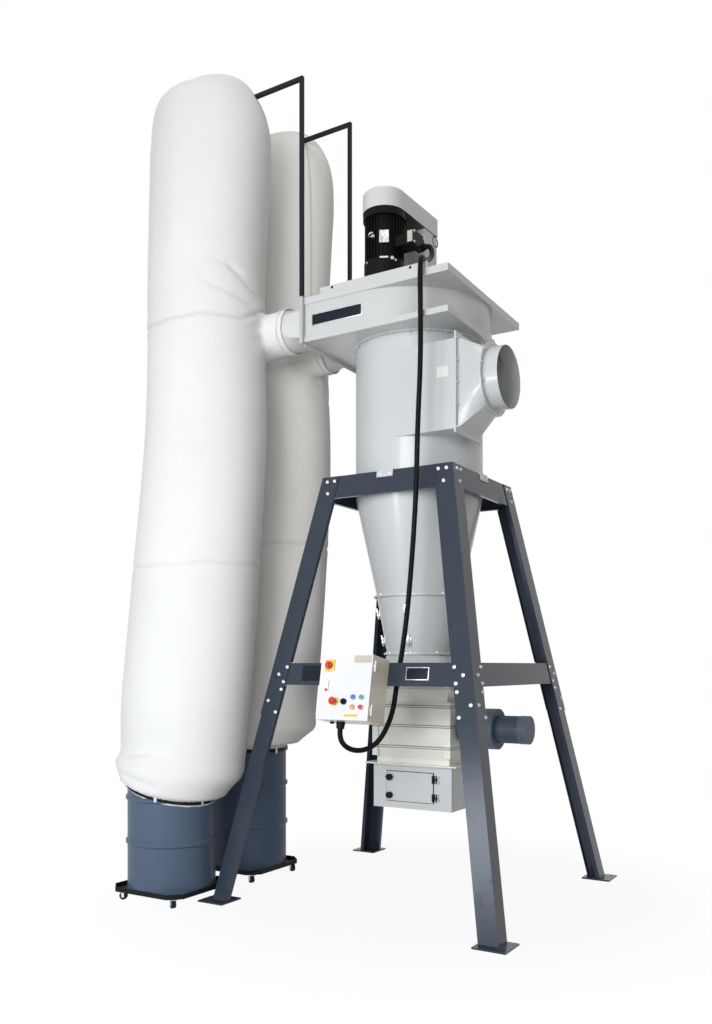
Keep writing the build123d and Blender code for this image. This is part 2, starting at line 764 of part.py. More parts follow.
# Inspection door: plate with two knobs and the moving halves of its hinges
door_back_y = -box_half_depth - moving_gap
with BuildPart() as discharge_door:
    with BuildSketch(Plane.XZ.offset(-door_back_y)):
        with Locations(((door_left_x + door_right_x) / 2, (door_low_z + door_high_z) / 2)):
            Rectangle(door_right_x - door_left_x, door_high_z - door_low_z)
    extrude(amount=door_sheet)
    for height in door_fitting_heights:
        knuckle_height = hinge_knuckle - 2 * curved_gap
        with BuildSketch(Plane.XY.offset(height - knuckle_height / 2)):
            with Locations((door_hinge_x, door_hinge_y)):
                Circle(hinge_radius)
            leaf_y = door_back_y - door_sheet - hinge_leaf_sheet / 2
            with Locations((door_hinge_x - hinge_leaf / 2, leaf_y)):
                Rectangle(hinge_leaf, hinge_leaf_sheet)
            with Locations((door_hinge_x, door_hinge_y)):
                Circle(hinge_pin_radius + curved_gap, mode=Mode.SUBTRACT)
        extrude(amount=knuckle_height)
        with BuildSketch(Plane.XZ.offset(-door_back_y + door_sheet)):
            with Locations((door_left_x + knob_inset, height)):
                Circle(knob_radius)
        extrude(amount=knob_height)
discharge_door.part.label = "discharge_door"
export_step(discharge_door.part, "parts/discharge_door.step")

tray_x = (tray_left_x + tray_right_x) / 2
tray_width = tray_right_x - tray_left_x
base_depth = tray_half_depth + base_back_y
base_y = base_back_y - base_depth / 2


def volute(inset, outlet_x):
    """Lines and arcs of the volute, moved in by the wall thickness, from its outlet and back to it."""
    first_x = scroll_right_x - scroll_first_radius
    first_y = scroll_front_y + scroll_first_radius
    radii = [scroll_first_radius - step * scroll_step for step in range(3)]
    second_x = first_x + scroll_step
    third_y = first_y + scroll_step
    tongue_y = outlet_back_y - inset
    tongue_angle = math.asin((tongue_y - third_y) / (radii[2] - inset))
    tongue_x = second_x - (radii[2] - inset) * math.cos(tongue_angle)
    Line((outlet_x, scroll_front_y + inset), (first_x, scroll_front_y + inset))
    CenterArc((first_x, first_y), radii[0] - inset, -90, 90)
    CenterArc((second_x, first_y), radii[1] - inset, 0, 90)
    CenterArc((second_x, third_y), radii[2] - inset, 90, 90 - math.degrees(tongue_angle))
    Line((tongue_x, tongue_y), (outlet_x, tongue_y))
    Line((outlet_x, tongue_y), (outlet_x, scroll_front_y + inset))


# Fan base: plate on the barrel's flange, square in front and following the volute behind, with a lip
# along its front and right edges, open to the vortex tube
with BuildPart() as fan_base:
    with BuildSketch(Plane.XY.offset(barrel_high_z)):
        with Locations((tray_x, base_y)):
            Rectangle(tray_width, base_depth)
        with BuildLine():
            volute(0, tray_left_x)
        make_face()
        Circle(barrel_radius + barrel_flange)
        Circle(vortex_radius, mode=Mode.SUBTRACT)
    extrude(amount=tray_sheet)
    with BuildSketch(Plane.XY.offset(barrel_high_z)):
        with Locations((tray_x, (tray_sheet - 2 * tray_half_depth) / 2)):
            Rectangle(tray_width, tray_sheet)
        with Locations((tray_right_x - tray_sheet / 2, base_y)):
            Rectangle(tray_sheet, base_depth)
    extrude(amount=base_lip)
fan_base.part.label = "fan_base"
export_step(fan_base.part, "parts/fan_base.step")

# Fan scroll: volute wall of three quarter turns, each on its own centre, open at the outlet
with BuildPart() as fan_scroll:
    with BuildSketch(Plane.XY.offset(base_top_z)):
        with BuildLine():
            volute(0, tray_left_x)
        make_face()
        with BuildLine():
            volute(scroll_sheet, tray_left_x - overrun)
        make_face(mode=Mode.SUBTRACT)
    extrude(amount=lid_z - base_top_z)
fan_scroll.part.label = "fan_scroll"
export_step(fan_scroll.part, "parts/fan_scroll.step")

# Fan lid: square tray over the volute, with the motor's slide rail along its front
with BuildPart() as fan_lid:
    with BuildSketch(Plane.XY.offset(lid_z)):
        with Locations((tray_x, 0)):
            Rectangle(tray_width, 2 * tray_half_depth)
    extrude(amount=lid_lip)
    with BuildSketch(Plane.XY.offset(lid_top_z)):
        with Locations((tray_x - tray_sheet, 0)):
            Rectangle(tray_width, 2 * (tray_half_depth - tray_sheet))
    extrude(amount=lid_lip, mode=Mode.SUBTRACT)
    with BuildSketch(Plane.XZ.offset(tray_half_depth - 2 * tray_sheet)):
        rail_x = (slide_rail_left_x + slide_rail_right_x) / 2
        rail_height = slide_rail_top_z - lid_top_z
        with Locations((rail_x, lid_top_z + rail_height / 2)):
            Rectangle(slide_rail_right_x - slide_rail_left_x, rail_height)
        for hole_x in slide_rail_holes_x:
            with Locations((hole_x, slide_rail_top_z - slide_rail_hole_drop)):
                Circle(slide_rail_hole_radius, mode=Mode.SUBTRACT)
    extrude(amount=tray_sheet)
    with BuildSketch(Plane.XY.offset(lid_z)):
        with Locations((shaft_x, 0)):
            Circle(shaft_hole_radius)
    extrude(amount=tray_sheet, mode=Mode.SUBTRACT)
fan_lid.part.label = "fan_lid"
export_step(fan_lid.part, "parts/fan_lid.step")

# Drive motor: upright, finned, on a base plate, with its terminal box on the right
with BuildPart() as drive_motor:
    with BuildSketch(Plane.XY.offset(lid_top_z)):
        with Locations((motor_x, motor_y)):
            Rectangle(motor_plate, motor_plate)
    extrude(amount=motor_plate_sheet)
    with BuildSketch(Plane.XY.offset(lid_top_z + motor_plate_sheet)):
        with Locations((motor_x, motor_y)):
            Circle(motor_bell_radius)
    extrude(amount=motor_bell_top_z - lid_top_z - motor_plate_sheet)
    with BuildSketch(Plane.XY.offset(motor_bell_top_z)):
        with Locations((motor_x, motor_y)):
            Circle(motor_core_radius)
            with PolarLocations(motor_core_radius, motor_fin_count):
                Rectangle(2 * motor_fin, motor_fin_sheet)
    extrude(amount=motor_core_top_z - motor_bell_top_z)
    with BuildSketch(Plane.XY.offset(motor_core_top_z)):
        with Locations((motor_x, motor_y)):
            Circle(motor_cap_radius)
    extrude(amount=guard_low_z - motor_core_top_z)
    with BuildSketch(Plane.XY.offset(terminal_low_z)):
        with Locations(((terminal_left_x + terminal_right_x) / 2, motor_y)):
            Rectangle(terminal_right_x - terminal_left_x, 2 * terminal_half_depth)
    extrude(amount=terminal_high_z - terminal_low_z)
    with BuildSketch(Plane.XY.offset(terminal_low_z + terminal_neck_inset)):
        with Locations(((motor_x + terminal_left_x) / 2, motor_y)):
            Rectangle(terminal_left_x - motor_x, 2 * terminal_neck_half_depth)
    extrude(amount=terminal_high_z - terminal_low_z - 2 * terminal_neck_inset)
    terminal_gland_y = motor_y + terminal_gland_back
    terminal_gland_z = terminal_low_z + terminal_gland_rise
    with BuildSketch(Plane.YZ.offset(terminal_right_x)):
        with Locations((terminal_gland_y, terminal_gland_z)):
            Circle(terminal_gland_radius)
    extrude(amount=terminal_gland_length)
drive_motor.part.label = "drive_motor"
export_step(drive_motor.part, "parts/drive_motor.step")

# Belt guard: rounded round the motor's pulley, squared behind the fan shaft's
belt_length = math.hypot(shaft_x - motor_x, motor_y)
belt_angle = math.degrees(math.atan2(-motor_y, shaft_x - motor_x))
guard_plane = Plane.XY.offset(guard_low_z)
with BuildPart() as belt_guard:
    with BuildSketch(guard_plane):
        with Locations(Location((motor_x, motor_y, 0), (0, 0, belt_angle))):
            Circle(guard_radius)
            with Locations(((belt_length + guard_tail) / 2, 0)):
                Rectangle(belt_length + guard_tail, 2 * guard_radius)
    extrude(amount=guard_high_z - guard_low_z)
    fillet(belt_guard.faces().sort_by(Axis.Z)[-1].edges(), guard_edge)
belt_guard.part.label = "belt_guard"
export_step(belt_guard.part, "parts/belt_guard.step")

# Bearing stand: a box of sheet on the lid under the guard's squared end, with the fan shaft's bearing in it
stand_box_length = 2 * (guard_tail - stand_box_inset)
stand_box_width = 2 * (guard_radius - stand_box_inset)
with BuildPart() as bearing_stand:
    with BuildSketch(Plane.XY.offset(lid_top_z)):
        with Locations(Location((shaft_x, 0, 0), (0, 0, belt_angle))):
            Rectangle(stand_box_length, stand_box_width)
    extrude(amount=guard_low_z - lid_top_z)
    with BuildSketch(Plane.XY.offset(lid_top_z + motor_plate_sheet)):
        with Locations(Location((shaft_x, 0, 0), (0, 0, belt_angle))):
            Rectangle(stand_box_length - 2 * stand_box_sheet, stand_box_width - 2 * stand_box_sheet)
    extrude(amount=guard_low_z - lid_top_z, mode=Mode.SUBTRACT)
    with BuildSketch(Plane.XY.offset(lid_top_z)):
        with Locations((shaft_x, 0)):
            Circle(bearing_collar_radius)
    extrude(amount=motor_plate_sheet + bearing_collar_height)
    with BuildSketch(Plane.XY.offset(lid_top_z)):
        with Locations((shaft_x, 0)):
            Circle(bearing_radius)
    extrude(amount=guard_low_z - lid_top_z)
bearing_stand.part.label = "bearing_stand"
export_step(bearing_stand.part, "parts/bearing_stand.step")

# Outlet branches: flange on the volute's outlet and two rectangular-to-round branches
branch_width = outlet_width / 2
outlet_x = tray_left_x - outlet_flange_sheet
with BuildPart() as outlet_branches:
    with BuildSketch(Plane.YZ.offset(outlet_x)):
        with Locations((outlet_y, (outlet_flange_low_z + outlet_flange_high_z) / 2)):
            Rectangle(outlet_width, outlet_flange_high_z - outlet_flange_low_z)
    extrude(amount=outlet_flange_sheet)
    for side, round_y in zip((-1, 1), branch_places_y):
        mouth_y = outlet_y + side * branch_width / 2
        with BuildSketch(Plane.YZ.offset(outlet_x)):
            with Locations((mouth_y, branch_z)):
                Rectangle(branch_width, branch_height)
        with BuildSketch(Plane.YZ.offset(branch_taper_x)):
            with Locations((round_y, branch_z)):
                Circle(branch_radius)
        loft()
        with BuildSketch(Plane.YZ.offset(branch_taper_x)):
            with Locations((round_y, branch_z)):
                Circle(branch_radius)
        extrude(amount=branch_end_x - branch_taper_x)
    for side, round_y in zip((-1, 1), branch_places_y):
        mouth_y = outlet_y + side * branch_width / 2
        with BuildSketch(Plane.YZ.offset(outlet_x)):
            with Locations((mouth_y, branch_z)):
                Rectangle(branch_width - 2 * outlet_sheet, branch_height - 2 * outlet_sheet)
        with BuildSketch(Plane.YZ.offset(branch_taper_x)):
            with Locations((round_y, branch_z)):
                Circle(branch_radius - outlet_sheet)
        loft(mode=Mode.SUBTRACT)
        with BuildSketch(Plane.YZ.offset(branch_taper_x)):
            with Locations((round_y, branch_z)):
                Circle(branch_radius - outlet_sheet)
        extrude(amount=branch_end_x - branch_taper_x, mode=Mode.SUBTRACT)
        with BuildSketch(Plane.YZ.offset(outlet_x)):
            with Locations((mouth_y, branch_z)):
                Rectangle(branch_width - 2 * outlet_sheet, branch_height - 2 * outlet_sheet)
        extrude(amount=outlet_flange_sheet, mode=Mode.SUBTRACT)
outlet_branches.part.label = "outlet_branches"
export_step(outlet_branches.part, "parts/outlet_branches.step")

# Filter bags: tall leaning cloth bags, each with a side sleeve, a hem round its drum and a domed top.
# Each row has a height, how far the bag has leaned back from its drum, and its half-width and
# half-depth as shares of the full half-depth.
bag_rows = list(zip(bag_heights, bag_leans, bag_width_shares, bag_depth_shares, hem_rise_shares))
hanger_places_y = (-tray_half_depth - post_size / 2, back_post_y)


def bag_outline(centre_y, width_share, depth_share):
    """Points round a bag's oval section."""
    turns = [2 * math.pi * step / bag_outline_points for step in range(bag_outline_points)]
    return [
        (
            bag_x + width_share * bag_half_depth * math.cos(turn),
            centre_y + depth_share * bag_half_depth * math.sin(turn),
        )
        for turn in turns
    ]


for index, depth_name in enumerate(("front", "back")):
    drum_y = drum_front_y + index * drum_spacing
    with BuildPart() as filter_bag:
        for height, leaned, width_share, depth_share, rise_share in bag_rows:
            spread = index * (bag_spacing - drum_spacing) * min(leaned / bag_leans[2], 1)
            with BuildSketch(Plane.XY.offset(height + index * back_hem_rise * rise_share)):
                with BuildLine():
                    Spline(
                        *bag_outline(drum_y + leaned + spread, width_share, depth_share), periodic=True
                    )
                make_face()
        loft()
        with BuildSketch(Plane.YZ.offset(sleeve_root_x)):
            with Locations((branch_places_y[index], branch_z)):
                Circle(branch_radius + sleeve_cloth)
        extrude(amount=sleeve_end_x - sleeve_root_x)
        with BuildSketch(Plane.YZ.offset(branch_end_x - curved_gap)):
            with Locations((branch_places_y[index], branch_z)):
                Circle(branch_radius + curved_gap)
        extrude(amount=sleeve_end_x - branch_end_x + overrun, mode=Mode.SUBTRACT)
        with BuildSketch(Plane.XY.offset(bag_heights[0] - overrun)):
            with Locations((bag_x, drum_y)):
                Circle(drum_radius + curved_gap)
        extrude(amount=drum_high_z + curved_gap - bag_heights[0] + overrun, mode=Mode.SUBTRACT)
        with BuildSketch(Plane.YZ.offset(arm_end_x - curved_gap)):
            with Locations((hanger_places_y[index], hanger_top_z - post_size / 2)):
                Rectangle(post_size + 2 * curved_gap, post_size + 2 * curved_gap)
        extrude(amount=post_x - arm_end_x, mode=Mode.SUBTRACT)
    filter_bag.part.label = f"filter_bag_{depth_name}"
    export_step(filter_bag.part, f"parts/filter_bag_{depth_name}.step")

# Sleeve bands: one round each bag's sleeve
with BuildPart() as sleeve_bands:
    for branch_y in branch_places_y:
        with BuildSketch(Plane.YZ.offset(sleeve_end_x - band_from_end)):
            with Locations((branch_y, branch_z)):
                Circle(branch_radius + sleeve_cloth + curved_gap + band_sheet)
                Circle(branch_radius + sleeve_cloth + curved_gap, mode=Mode.SUBTRACT)
        extrude(amount=-band_width)
sleeve_bands.part.label = "sleeve_bands"
export_step(sleeve_bands.part, "parts/sleeve_bands.step")

# Hangers: a post and an arm of square tube for each bag
for depth_name, post_y, post_low_z in (
    ("front", hanger_places_y[0], front_post_low_z),
    ("back", hanger_places_y[1], outlet_flange_high_z),
):
    with BuildPart() as hanger:
        hanger_x = tray_left_x - post_size / 2
        with BuildSketch(Plane.XY.offset(post_low_z)):
            with Locations((hanger_x, post_y)):
                Rectangle(post_size, post_size)
        extrude(amount=hanger_top_z - post_low_z)
        with BuildSketch(Plane.YZ.offset(arm_end_x)):
            with Locations((post_y, hanger_top_z - post_size / 2)):
                Rectangle(post_size, post_size)
        extrude(amount=hanger_x - arm_end_x)
    hanger.part.label = f"hanger_{depth_name}"
    export_step(hanger.part, f"parts/hanger_{depth_name}.step")

# Heights of the dolly and its casters, worked up from the floor
fork_crown_low_z = 2 * wheel_radius + moving_gap
fork_top_z = fork_crown_low_z + fork_crown
dolly_low_z = fork_top_z + moving_gap
dolly_top_z = dolly_low_z + dolly_sheet
cheek_inner = wheel_width / 2 + moving_gap

for index, depth_name in enumerate(("front", "back")):
    drum_y = drum_front_y + index * drum_spacing

    # Drum: open-topped shell with two rolled hoops
    drum_plane = Plane(origin=(bag_x, drum_y, 0), x_dir=(1, 0, 0), z_dir=(0, -1, 0))
    drum_outline = [(0, dolly_top_z), (drum_radius, dolly_top_z)]
    for height in drum_hoop_heights:
        drum_outline += [
            (drum_radius, height - drum_hoop_height / 2),
            (drum_radius + drum_hoop, height - drum_hoop_flat / 2),
            (drum_radius + drum_hoop, height + drum_hoop_flat / 2),
            (drum_radius, height + drum_hoop_height / 2),
        ]
    drum_outline += [
        (drum_radius, drum_high_z),
        (drum_radius - drum_sheet, drum_high_z),
        (drum_radius - drum_sheet, dolly_top_z + drum_sheet),
        (0, dolly_top_z + drum_sheet),
    ]
    with BuildPart() as drum:
        with BuildSketch(drum_plane):
            with BuildLine():
                Polyline(*drum_outline, close=True)
            make_face()
        revolve(axis=Axis((bag_x, drum_y, 0), (0, 0, 1)))
    drum.part.label = f"drum_{depth_name}"
    export_step(drum.part, f"parts/drum_{depth_name}.step")

    # Dolly: eight-sided tray with a low rim and a swivel boss under each corner
    with BuildPart() as dolly:
        with BuildSketch(Plane.XY.offset(dolly_low_z)):
            with Locations((bag_x, drum_y)):
                Rectangle(2 * dolly_half, 2 * dolly_half)
            chamfer(vertices(), dolly_corner)
        extrude(amount=dolly_rim)
        with BuildSketch(Plane.XY.offset(dolly_top_z)):
            with Locations((bag_x, drum_y)):
                inner_half = dolly_half - dolly_rim_sheet
                Rectangle(2 * inner_half, 2 * inner_half)
            chamfer(vertices(), dolly_corner)
        extrude(amount=dolly_rim, mode=Mode.SUBTRACT)
        with BuildSketch(Plane.XY.offset(fork_top_z + curved_gap)):
            with Locations((bag_x, drum_y)):
                with GridLocations(2 * caster_half, 2 * caster_half, 2, 2):
                    Circle(swivel_boss_radius)
        extrude(amount=dolly_low_z - fork_top_z - curved_gap)
    dolly.part.label = f"dolly_{depth_name}"
    export_step(dolly.part, f"parts/dolly_{depth_name}.step")

    # Casters: a swivelling fork and a wheel under each corner of the dolly
    for caster_name, (side_x, side_y) in corners.items():
        caster_angle = caster_angles[list(corners).index(caster_name)]
        caster_spot = (bag_x + side_x * caster_half, drum_y + side_y * caster_half, 0)
        caster_plane = Plane(Location(caster_spot, (0, 0, caster_angle)))
        axle_plane = Plane(
            origin=caster_plane.from_local_coords((caster_trail, 0, wheel_radius)),
            x_dir=caster_plane.x_dir,
            z_dir=caster_plane.y_dir,
        )
        with BuildPart() as caster_fork:
            with BuildSketch(caster_plane.offset(fork_crown_low_z)):
                Circle(fork_crown_radius)
                with Locations((caster_trail / 2, 0)):
                    Rectangle(caster_trail + 2 * fork_half_width, 2 * (cheek_inner + fork_sheet))
            extrude(amount=fork_crown)
            for cheek_side in (-1, 1):
                with BuildSketch(axle_plane.offset(cheek_side * (cheek_inner + fork_sheet / 2))):
                    Circle(fork_half_width)
                    cheek_height = fork_crown_low_z - wheel_radius
                    with Locations((0, -cheek_height / 2)):
                        Rectangle(2 * fork_half_width, cheek_height)
                extrude(amount=fork_sheet / 2, both=True)
            with BuildSketch(axle_plane):
                Circle(axle_radius)
            extrude(amount=cheek_inner, both=True)
        caster_fork.part.label = f"caster_fork_{depth_name}_{caster_name}"
        export_step(caster_fork.part, f"parts/caster_fork_{depth_name}_{caster_name}.step")

        with BuildPart() as caster_wheel:
            with BuildSketch(axle_plane):
                Circle(wheel_radius)
            extrude(amount=wheel_width / 2, both=True)
            with BuildSketch(axle_plane):
                Circle(wheel_hub_radius)
            extrude(amount=cheek_inner - curved_gap, both=True)
            with BuildSketch(axle_plane):
                Circle(axle_radius + curved_gap)
            extrude(amount=cheek_inner, both=True, mode=Mode.SUBTRACT)
        caster_wheel.part.label = f"caster_wheel_{depth_name}_{caster_name}"
        export_step(caster_wheel.part, f"parts/caster_wheel_{depth_name}_{caster_name}.step")

# Control cabinet: on the front middle rail, leaning with it
cabinet_x = (cabinet_left_x + cabinet_right_x) / 2
cabinet_width = cabinet_right_x - cabinet_left_x
cabinet_plane = Plane(
    origin=(cabinet_x, -rail_face(cabinet_z), cabinet_z), x_dir=(1, 0, 0), z_dir=(0, -1, lean)
)
cabinet_hinge_x = cabinet_width / 2 + cabinet_hinge_out
cabinet_hinge_plane = Plane(
    origin=cabinet_plane.from_local_coords((cabinet_hinge_x, 0, cabinet_depth + moving_gap / 2)),
    x_dir=cabinet_plane.x_dir,
    z_dir=cabinet_plane.y_dir,
)
cabinet_knuckle = cabinet_hinge_length / 3
with BuildPart() as control_cabinet:
    with BuildSketch(cabinet_plane):
        Rectangle(cabinet_width, cabinet_height)
    extrude(amount=cabinet_depth)
    with BuildSketch(cabinet_plane.offset(cabinet_sheet)):
        Rectangle(cabinet_width - 2 * cabinet_sheet, cabinet_height - 2 * cabinet_sheet)
    extrude(amount=cabinet_depth, mode=Mode.SUBTRACT)
    for height in cabinet_hinge_heights:
        low = height - cabinet_hinge_length / 2
        for knuckle_low in (low, low + 2 * cabinet_knuckle):
            with BuildSketch(cabinet_hinge_plane.offset(knuckle_low)):
                Circle(cabinet_hinge_radius)
                with Locations((-cabinet_hinge_out / 2, cabinet_leaf / 2)):
                    Rectangle(cabinet_hinge_out, cabinet_leaf)
            extrude(amount=cabinet_knuckle)
        with BuildSketch(cabinet_hinge_plane.offset(low)):
            Circle(cabinet_pin_radius)
        extrude(amount=cabinet_hinge_length)
    gland_plane = Plane(
        origin=cabinet_plane.from_local_coords((gland_x - cabinet_x, -cabinet_height / 2, gland_out)),
        x_dir=cabinet_plane.x_dir,
        z_dir=-cabinet_plane.y_dir,
    )
    with BuildSketch(gland_plane):
        Circle(gland_radius)
    extrude(amount=gland_length)
control_cabinet.part.label = "control_cabinet"
export_step(control_cabinet.part, "parts/control_cabinet.step")

# Cabinet door: folded tray with the main switch and push buttons
door_front = cabinet_depth + moving_gap + cabinet_door_depth
with BuildPart() as cabinet_door:
    with BuildSketch(cabinet_plane.offset(cabinet_depth + moving_gap)):
        Rectangle(cabinet_width, cabinet_height)
    extrude(amount=cabinet_door_depth)
    with BuildSketch(cabinet_plane.offset(door_front)):
        with Locations((switch_place_shares[0] * cabinet_width, switch_place_shares[1] * cabinet_height)):
            Rectangle(switch_plate, switch_plate)
    extrude(amount=switch_plate_sheet)
    with BuildSketch(cabinet_plane.offset(door_front)):
        with Locations((switch_place_shares[0] * cabinet_width, switch_place_shares[1] * cabinet_height)):
            Circle(switch_knob_radius)
    extrude(amount=switch_knob_height)
    with BuildSketch(cabinet_plane.offset(door_front)):
        for across_share, up_share in button_places_shares:
            with Locations((across_share * cabinet_width, up_share * cabinet_height)):
                Circle(button_radius)
    extrude(amount=button_height)
    for height in cabinet_hinge_heights:
        knuckle_height = cabinet_knuckle - 2 * curved_gap
        with BuildSketch(cabinet_hinge_plane.offset(height - knuckle_height / 2)):
            Circle(cabinet_hinge_radius)
            with Locations((-cabinet_hinge_out / 2, -cabinet_hinge_radius)):
                Rectangle(cabinet_hinge_out, cabinet_hinge_radius)
            Circle(cabinet_pin_radius + curved_gap, mode=Mode.SUBTRACT)
        extrude(amount=knuckle_height)
cabinet_door.part.label = "cabinet_door"
export_step(cabinet_door.part, "parts/cabinet_door.step")

# Conduit: one bent tube from the terminal box's gland to the cabinet's gland
terminal_end_x = terminal_right_x + terminal_gland_length
gland_lead = gland_plane.from_local_coords((0, 0, gland_length + conduit_lead))
gland_end = gland_plane.from_local_coords((0, 0, gland_length))
conduit_route = [
    (terminal_end_x, terminal_gland_y, terminal_gland_z),
    (terminal_end_x + terminal_lead, terminal_gland_y, terminal_gland_z),
    *conduit_points,
    tuple(gland_lead),
    tuple(gland_end),
]
bend_radii = []
for before, bend, after in zip(conduit_route, conduit_route[1:], conduit_route[2:]):
    run_in = Vector(*bend) - Vector(*before)
    run_out = Vector(*after) - Vector(*bend)
    half_turn = math.radians(run_in.get_angle(run_out)) / 2
    bend_radii.append(bend_share * min(run_in.length, run_out.length) / math.tan(half_turn))
print("conduit bend radii", [round(radius) for radius in bend_radii])
with BuildPart() as conduit:
    with BuildLine() as conduit_path:
        FilletPolyline(*conduit_route, radius=bend_radii)
    with BuildSketch(Plane(origin=conduit_path.line @ 0, z_dir=conduit_path.line % 0)):
        Circle(conduit_radius)
    sweep()
conduit.part.label = "conduit"
export_step(conduit.part, "parts/conduit.step")
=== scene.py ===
# %% [markdown]
# # A cyclone dust separator, dressed for its portrait
# The solids come from the CAD frame. This lesson adds the looks: camera, light, paint, cloth bags,
# the hanging conduit, and the small hardware that makes a machine believable. All is in metres, in
# the frame of the CAD: +X is right, -Y is the front, +Z is up.

# %% Load the frame
from math import atan2, cos, pi, radians, sin

import bpy
import numpy as np
from mathutils import Matrix, Vector


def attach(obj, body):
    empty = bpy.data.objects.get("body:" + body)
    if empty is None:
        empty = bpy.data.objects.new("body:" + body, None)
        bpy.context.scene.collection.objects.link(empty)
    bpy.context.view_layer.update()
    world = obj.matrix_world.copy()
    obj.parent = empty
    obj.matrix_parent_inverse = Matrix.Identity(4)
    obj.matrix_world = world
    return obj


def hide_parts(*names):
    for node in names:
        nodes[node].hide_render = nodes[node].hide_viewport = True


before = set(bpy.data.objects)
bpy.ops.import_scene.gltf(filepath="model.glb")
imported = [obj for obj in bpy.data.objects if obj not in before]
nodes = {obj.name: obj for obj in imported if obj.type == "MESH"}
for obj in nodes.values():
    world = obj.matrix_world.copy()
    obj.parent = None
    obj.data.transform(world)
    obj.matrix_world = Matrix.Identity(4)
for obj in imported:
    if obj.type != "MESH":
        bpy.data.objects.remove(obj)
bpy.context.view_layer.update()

# %% [markdown]
# ## Camera
# The photograph's upright edges stay parallel, so its camera was level. A level camera that shows a
# tall thing is shifted upwards, not tilted, so the horizon lies low in the picture.

# %% Camera
photo_height, focal_pixels, horizon_row = 1024, 920.67, 666.1
sensor = 36.0
turn = radians(31.262)
scene = bpy.context.scene
camera_data = bpy.data.cameras.new("portrait_camera")
camera_data.sensor_width = sensor
camera_data.lens = focal_pixels * sensor / photo_height
camera_data.shift_y = (horizon_row - photo_height / 2) / photo_height
camera = bpy.data.objects.new("portrait_camera", camera_data)
scene.collection.objects.link(camera)
camera.location = (2.8593, -5.5311, 1.5)
camera.rotation_euler = (pi / 2, 0, turn)
scene.camera = camera
scene.view_settings.view_transform = "Standard"
print("lens", round(camera_data.lens, 2), "shift", round(camera_data.shift_y, 4))

# %% [markdown]
# ## Writing materials as sums
# A material is a small sum over the surface: a noise here, a stripe there, mixed. Nodes are easier
# to read as Python expressions, so one class wraps a socket and turns + - * into Math nodes. The
# other makes every node from its type, its sockets and its settings.

# %% Shader helpers
class Shade:
    """One value of a material. Arithmetic on it adds Math nodes."""

    def __init__(self, paint, socket):
        self.paint, self.socket = paint, socket

    def __add__(self, other):
        return self.paint.math("ADD", self, other)

    def __radd__(self, other):
        return self.paint.math("ADD", other, self)

    def __sub__(self, other):
        return self.paint.math("SUBTRACT", self, other)

    def __rsub__(self, other):
        return self.paint.math("SUBTRACT", other, self)

    def __mul__(self, other):
        return self.paint.math("MULTIPLY", self, other)

    def __rmul__(self, other):
        return self.paint.math("MULTIPLY", other, self)


class Paint:
    """A material, or the world, under construction."""

    def __init__(self, owner):
        self.owner = owner
        owner.use_nodes = True
        self.tree = owner.node_tree
        self.tree.nodes.clear()

    def node(self, kind, sockets=None, out=0, **settings):
        made = self.tree.nodes.new("ShaderNode" + kind)
        for key, value in settings.items():
            setattr(made, key, value)
        for key, value in (sockets or {}).items():
            if isinstance(value, Shade):
                self.tree.links.new(value.socket, made.inputs[key])
            else:
                made.inputs[key].default_value = value
        return Shade(self, made.outputs[out]) if len(made.outputs) else made

    def math(self, operation, *values):
        return self.node("Math", dict(enumerate(values)), operation=operation)

    def place(self):
        return self.node("TexCoord", out="Object")

    def along(self, axis):
        """A point's x, y or z, for axis 0, 1 or 2."""
        return self.node("SeparateXYZ", {0: self.place()}, out=axis)

    def noise(self, scale, detail=3.0, roughness=0.55, stretch=(1, 1, 1)):
        moved = self.node("Mapping", {"Vector": self.place(), "Scale": stretch})
        sockets = {"Vector": moved, "Scale": scale, "Detail": detail, "Roughness": roughness}
        return self.node("TexNoise", sockets)

    def seen(self):
        """One for the rays that show a thing: from the camera, off a mirror or through glass."""
        camera_ray, glossy, through = (
            self.node("LightPath", out=f"Is {kind} Ray")
            for kind in ("Camera", "Glossy", "Transmission")
        )
        return self.math("MAXIMUM", self.math("MAXIMUM", camera_ray, glossy), through)

    def step(self, value, low, high):
        sockets = {"Value": value, "From Min": low, "From Max": high}
        return self.node("MapRange", sockets, interpolation_type="SMOOTHSTEP")

    def mix(self, share, first, second):
        first = first if isinstance(first, Shade) else (*first, 1)
        second = second if isinstance(second, Shade) else (*second, 1)
        sockets = {0: share, 6: first, 7: second}
        return self.node("Mix", sockets, 2, data_type="RGBA")

    def bump(self, height, strength, distance):
        sockets = {"Height": height, "Strength": strength, "Distance": distance}
        return self.node("Bump", sockets)

    def finish(self, **sockets):
        """Ends the material in one Principled shader; sockets are named as on the node."""
        values = {key.replace("_", " "): value for key, value in sockets.items()}
        shader = self.node("BsdfPrincipled", values)
        self.node("OutputMaterial", {"Surface": shader})
        return self.owner


def material(name):
    return Paint(bpy.data.materials.new(name))


print("shader helpers ready")

# %% [markdown]
# ## Gloss paint on sheet steel
# Machine enamel is never quite flat: it has a faint orange peel, a slow drift of tone, and duller
# patches where grime settles. Two extras serve single pieces: another colour below a height, for
# painted shade on the guard's underside and for a post's zinc foot, and lines of painted shade
# under the airlock's folds.

# %% Gloss paints
def shaded(colour, share):
    """A colour made darker or lighter by a share."""
    return tuple(min(channel * share, 1.0) for channel in colour)


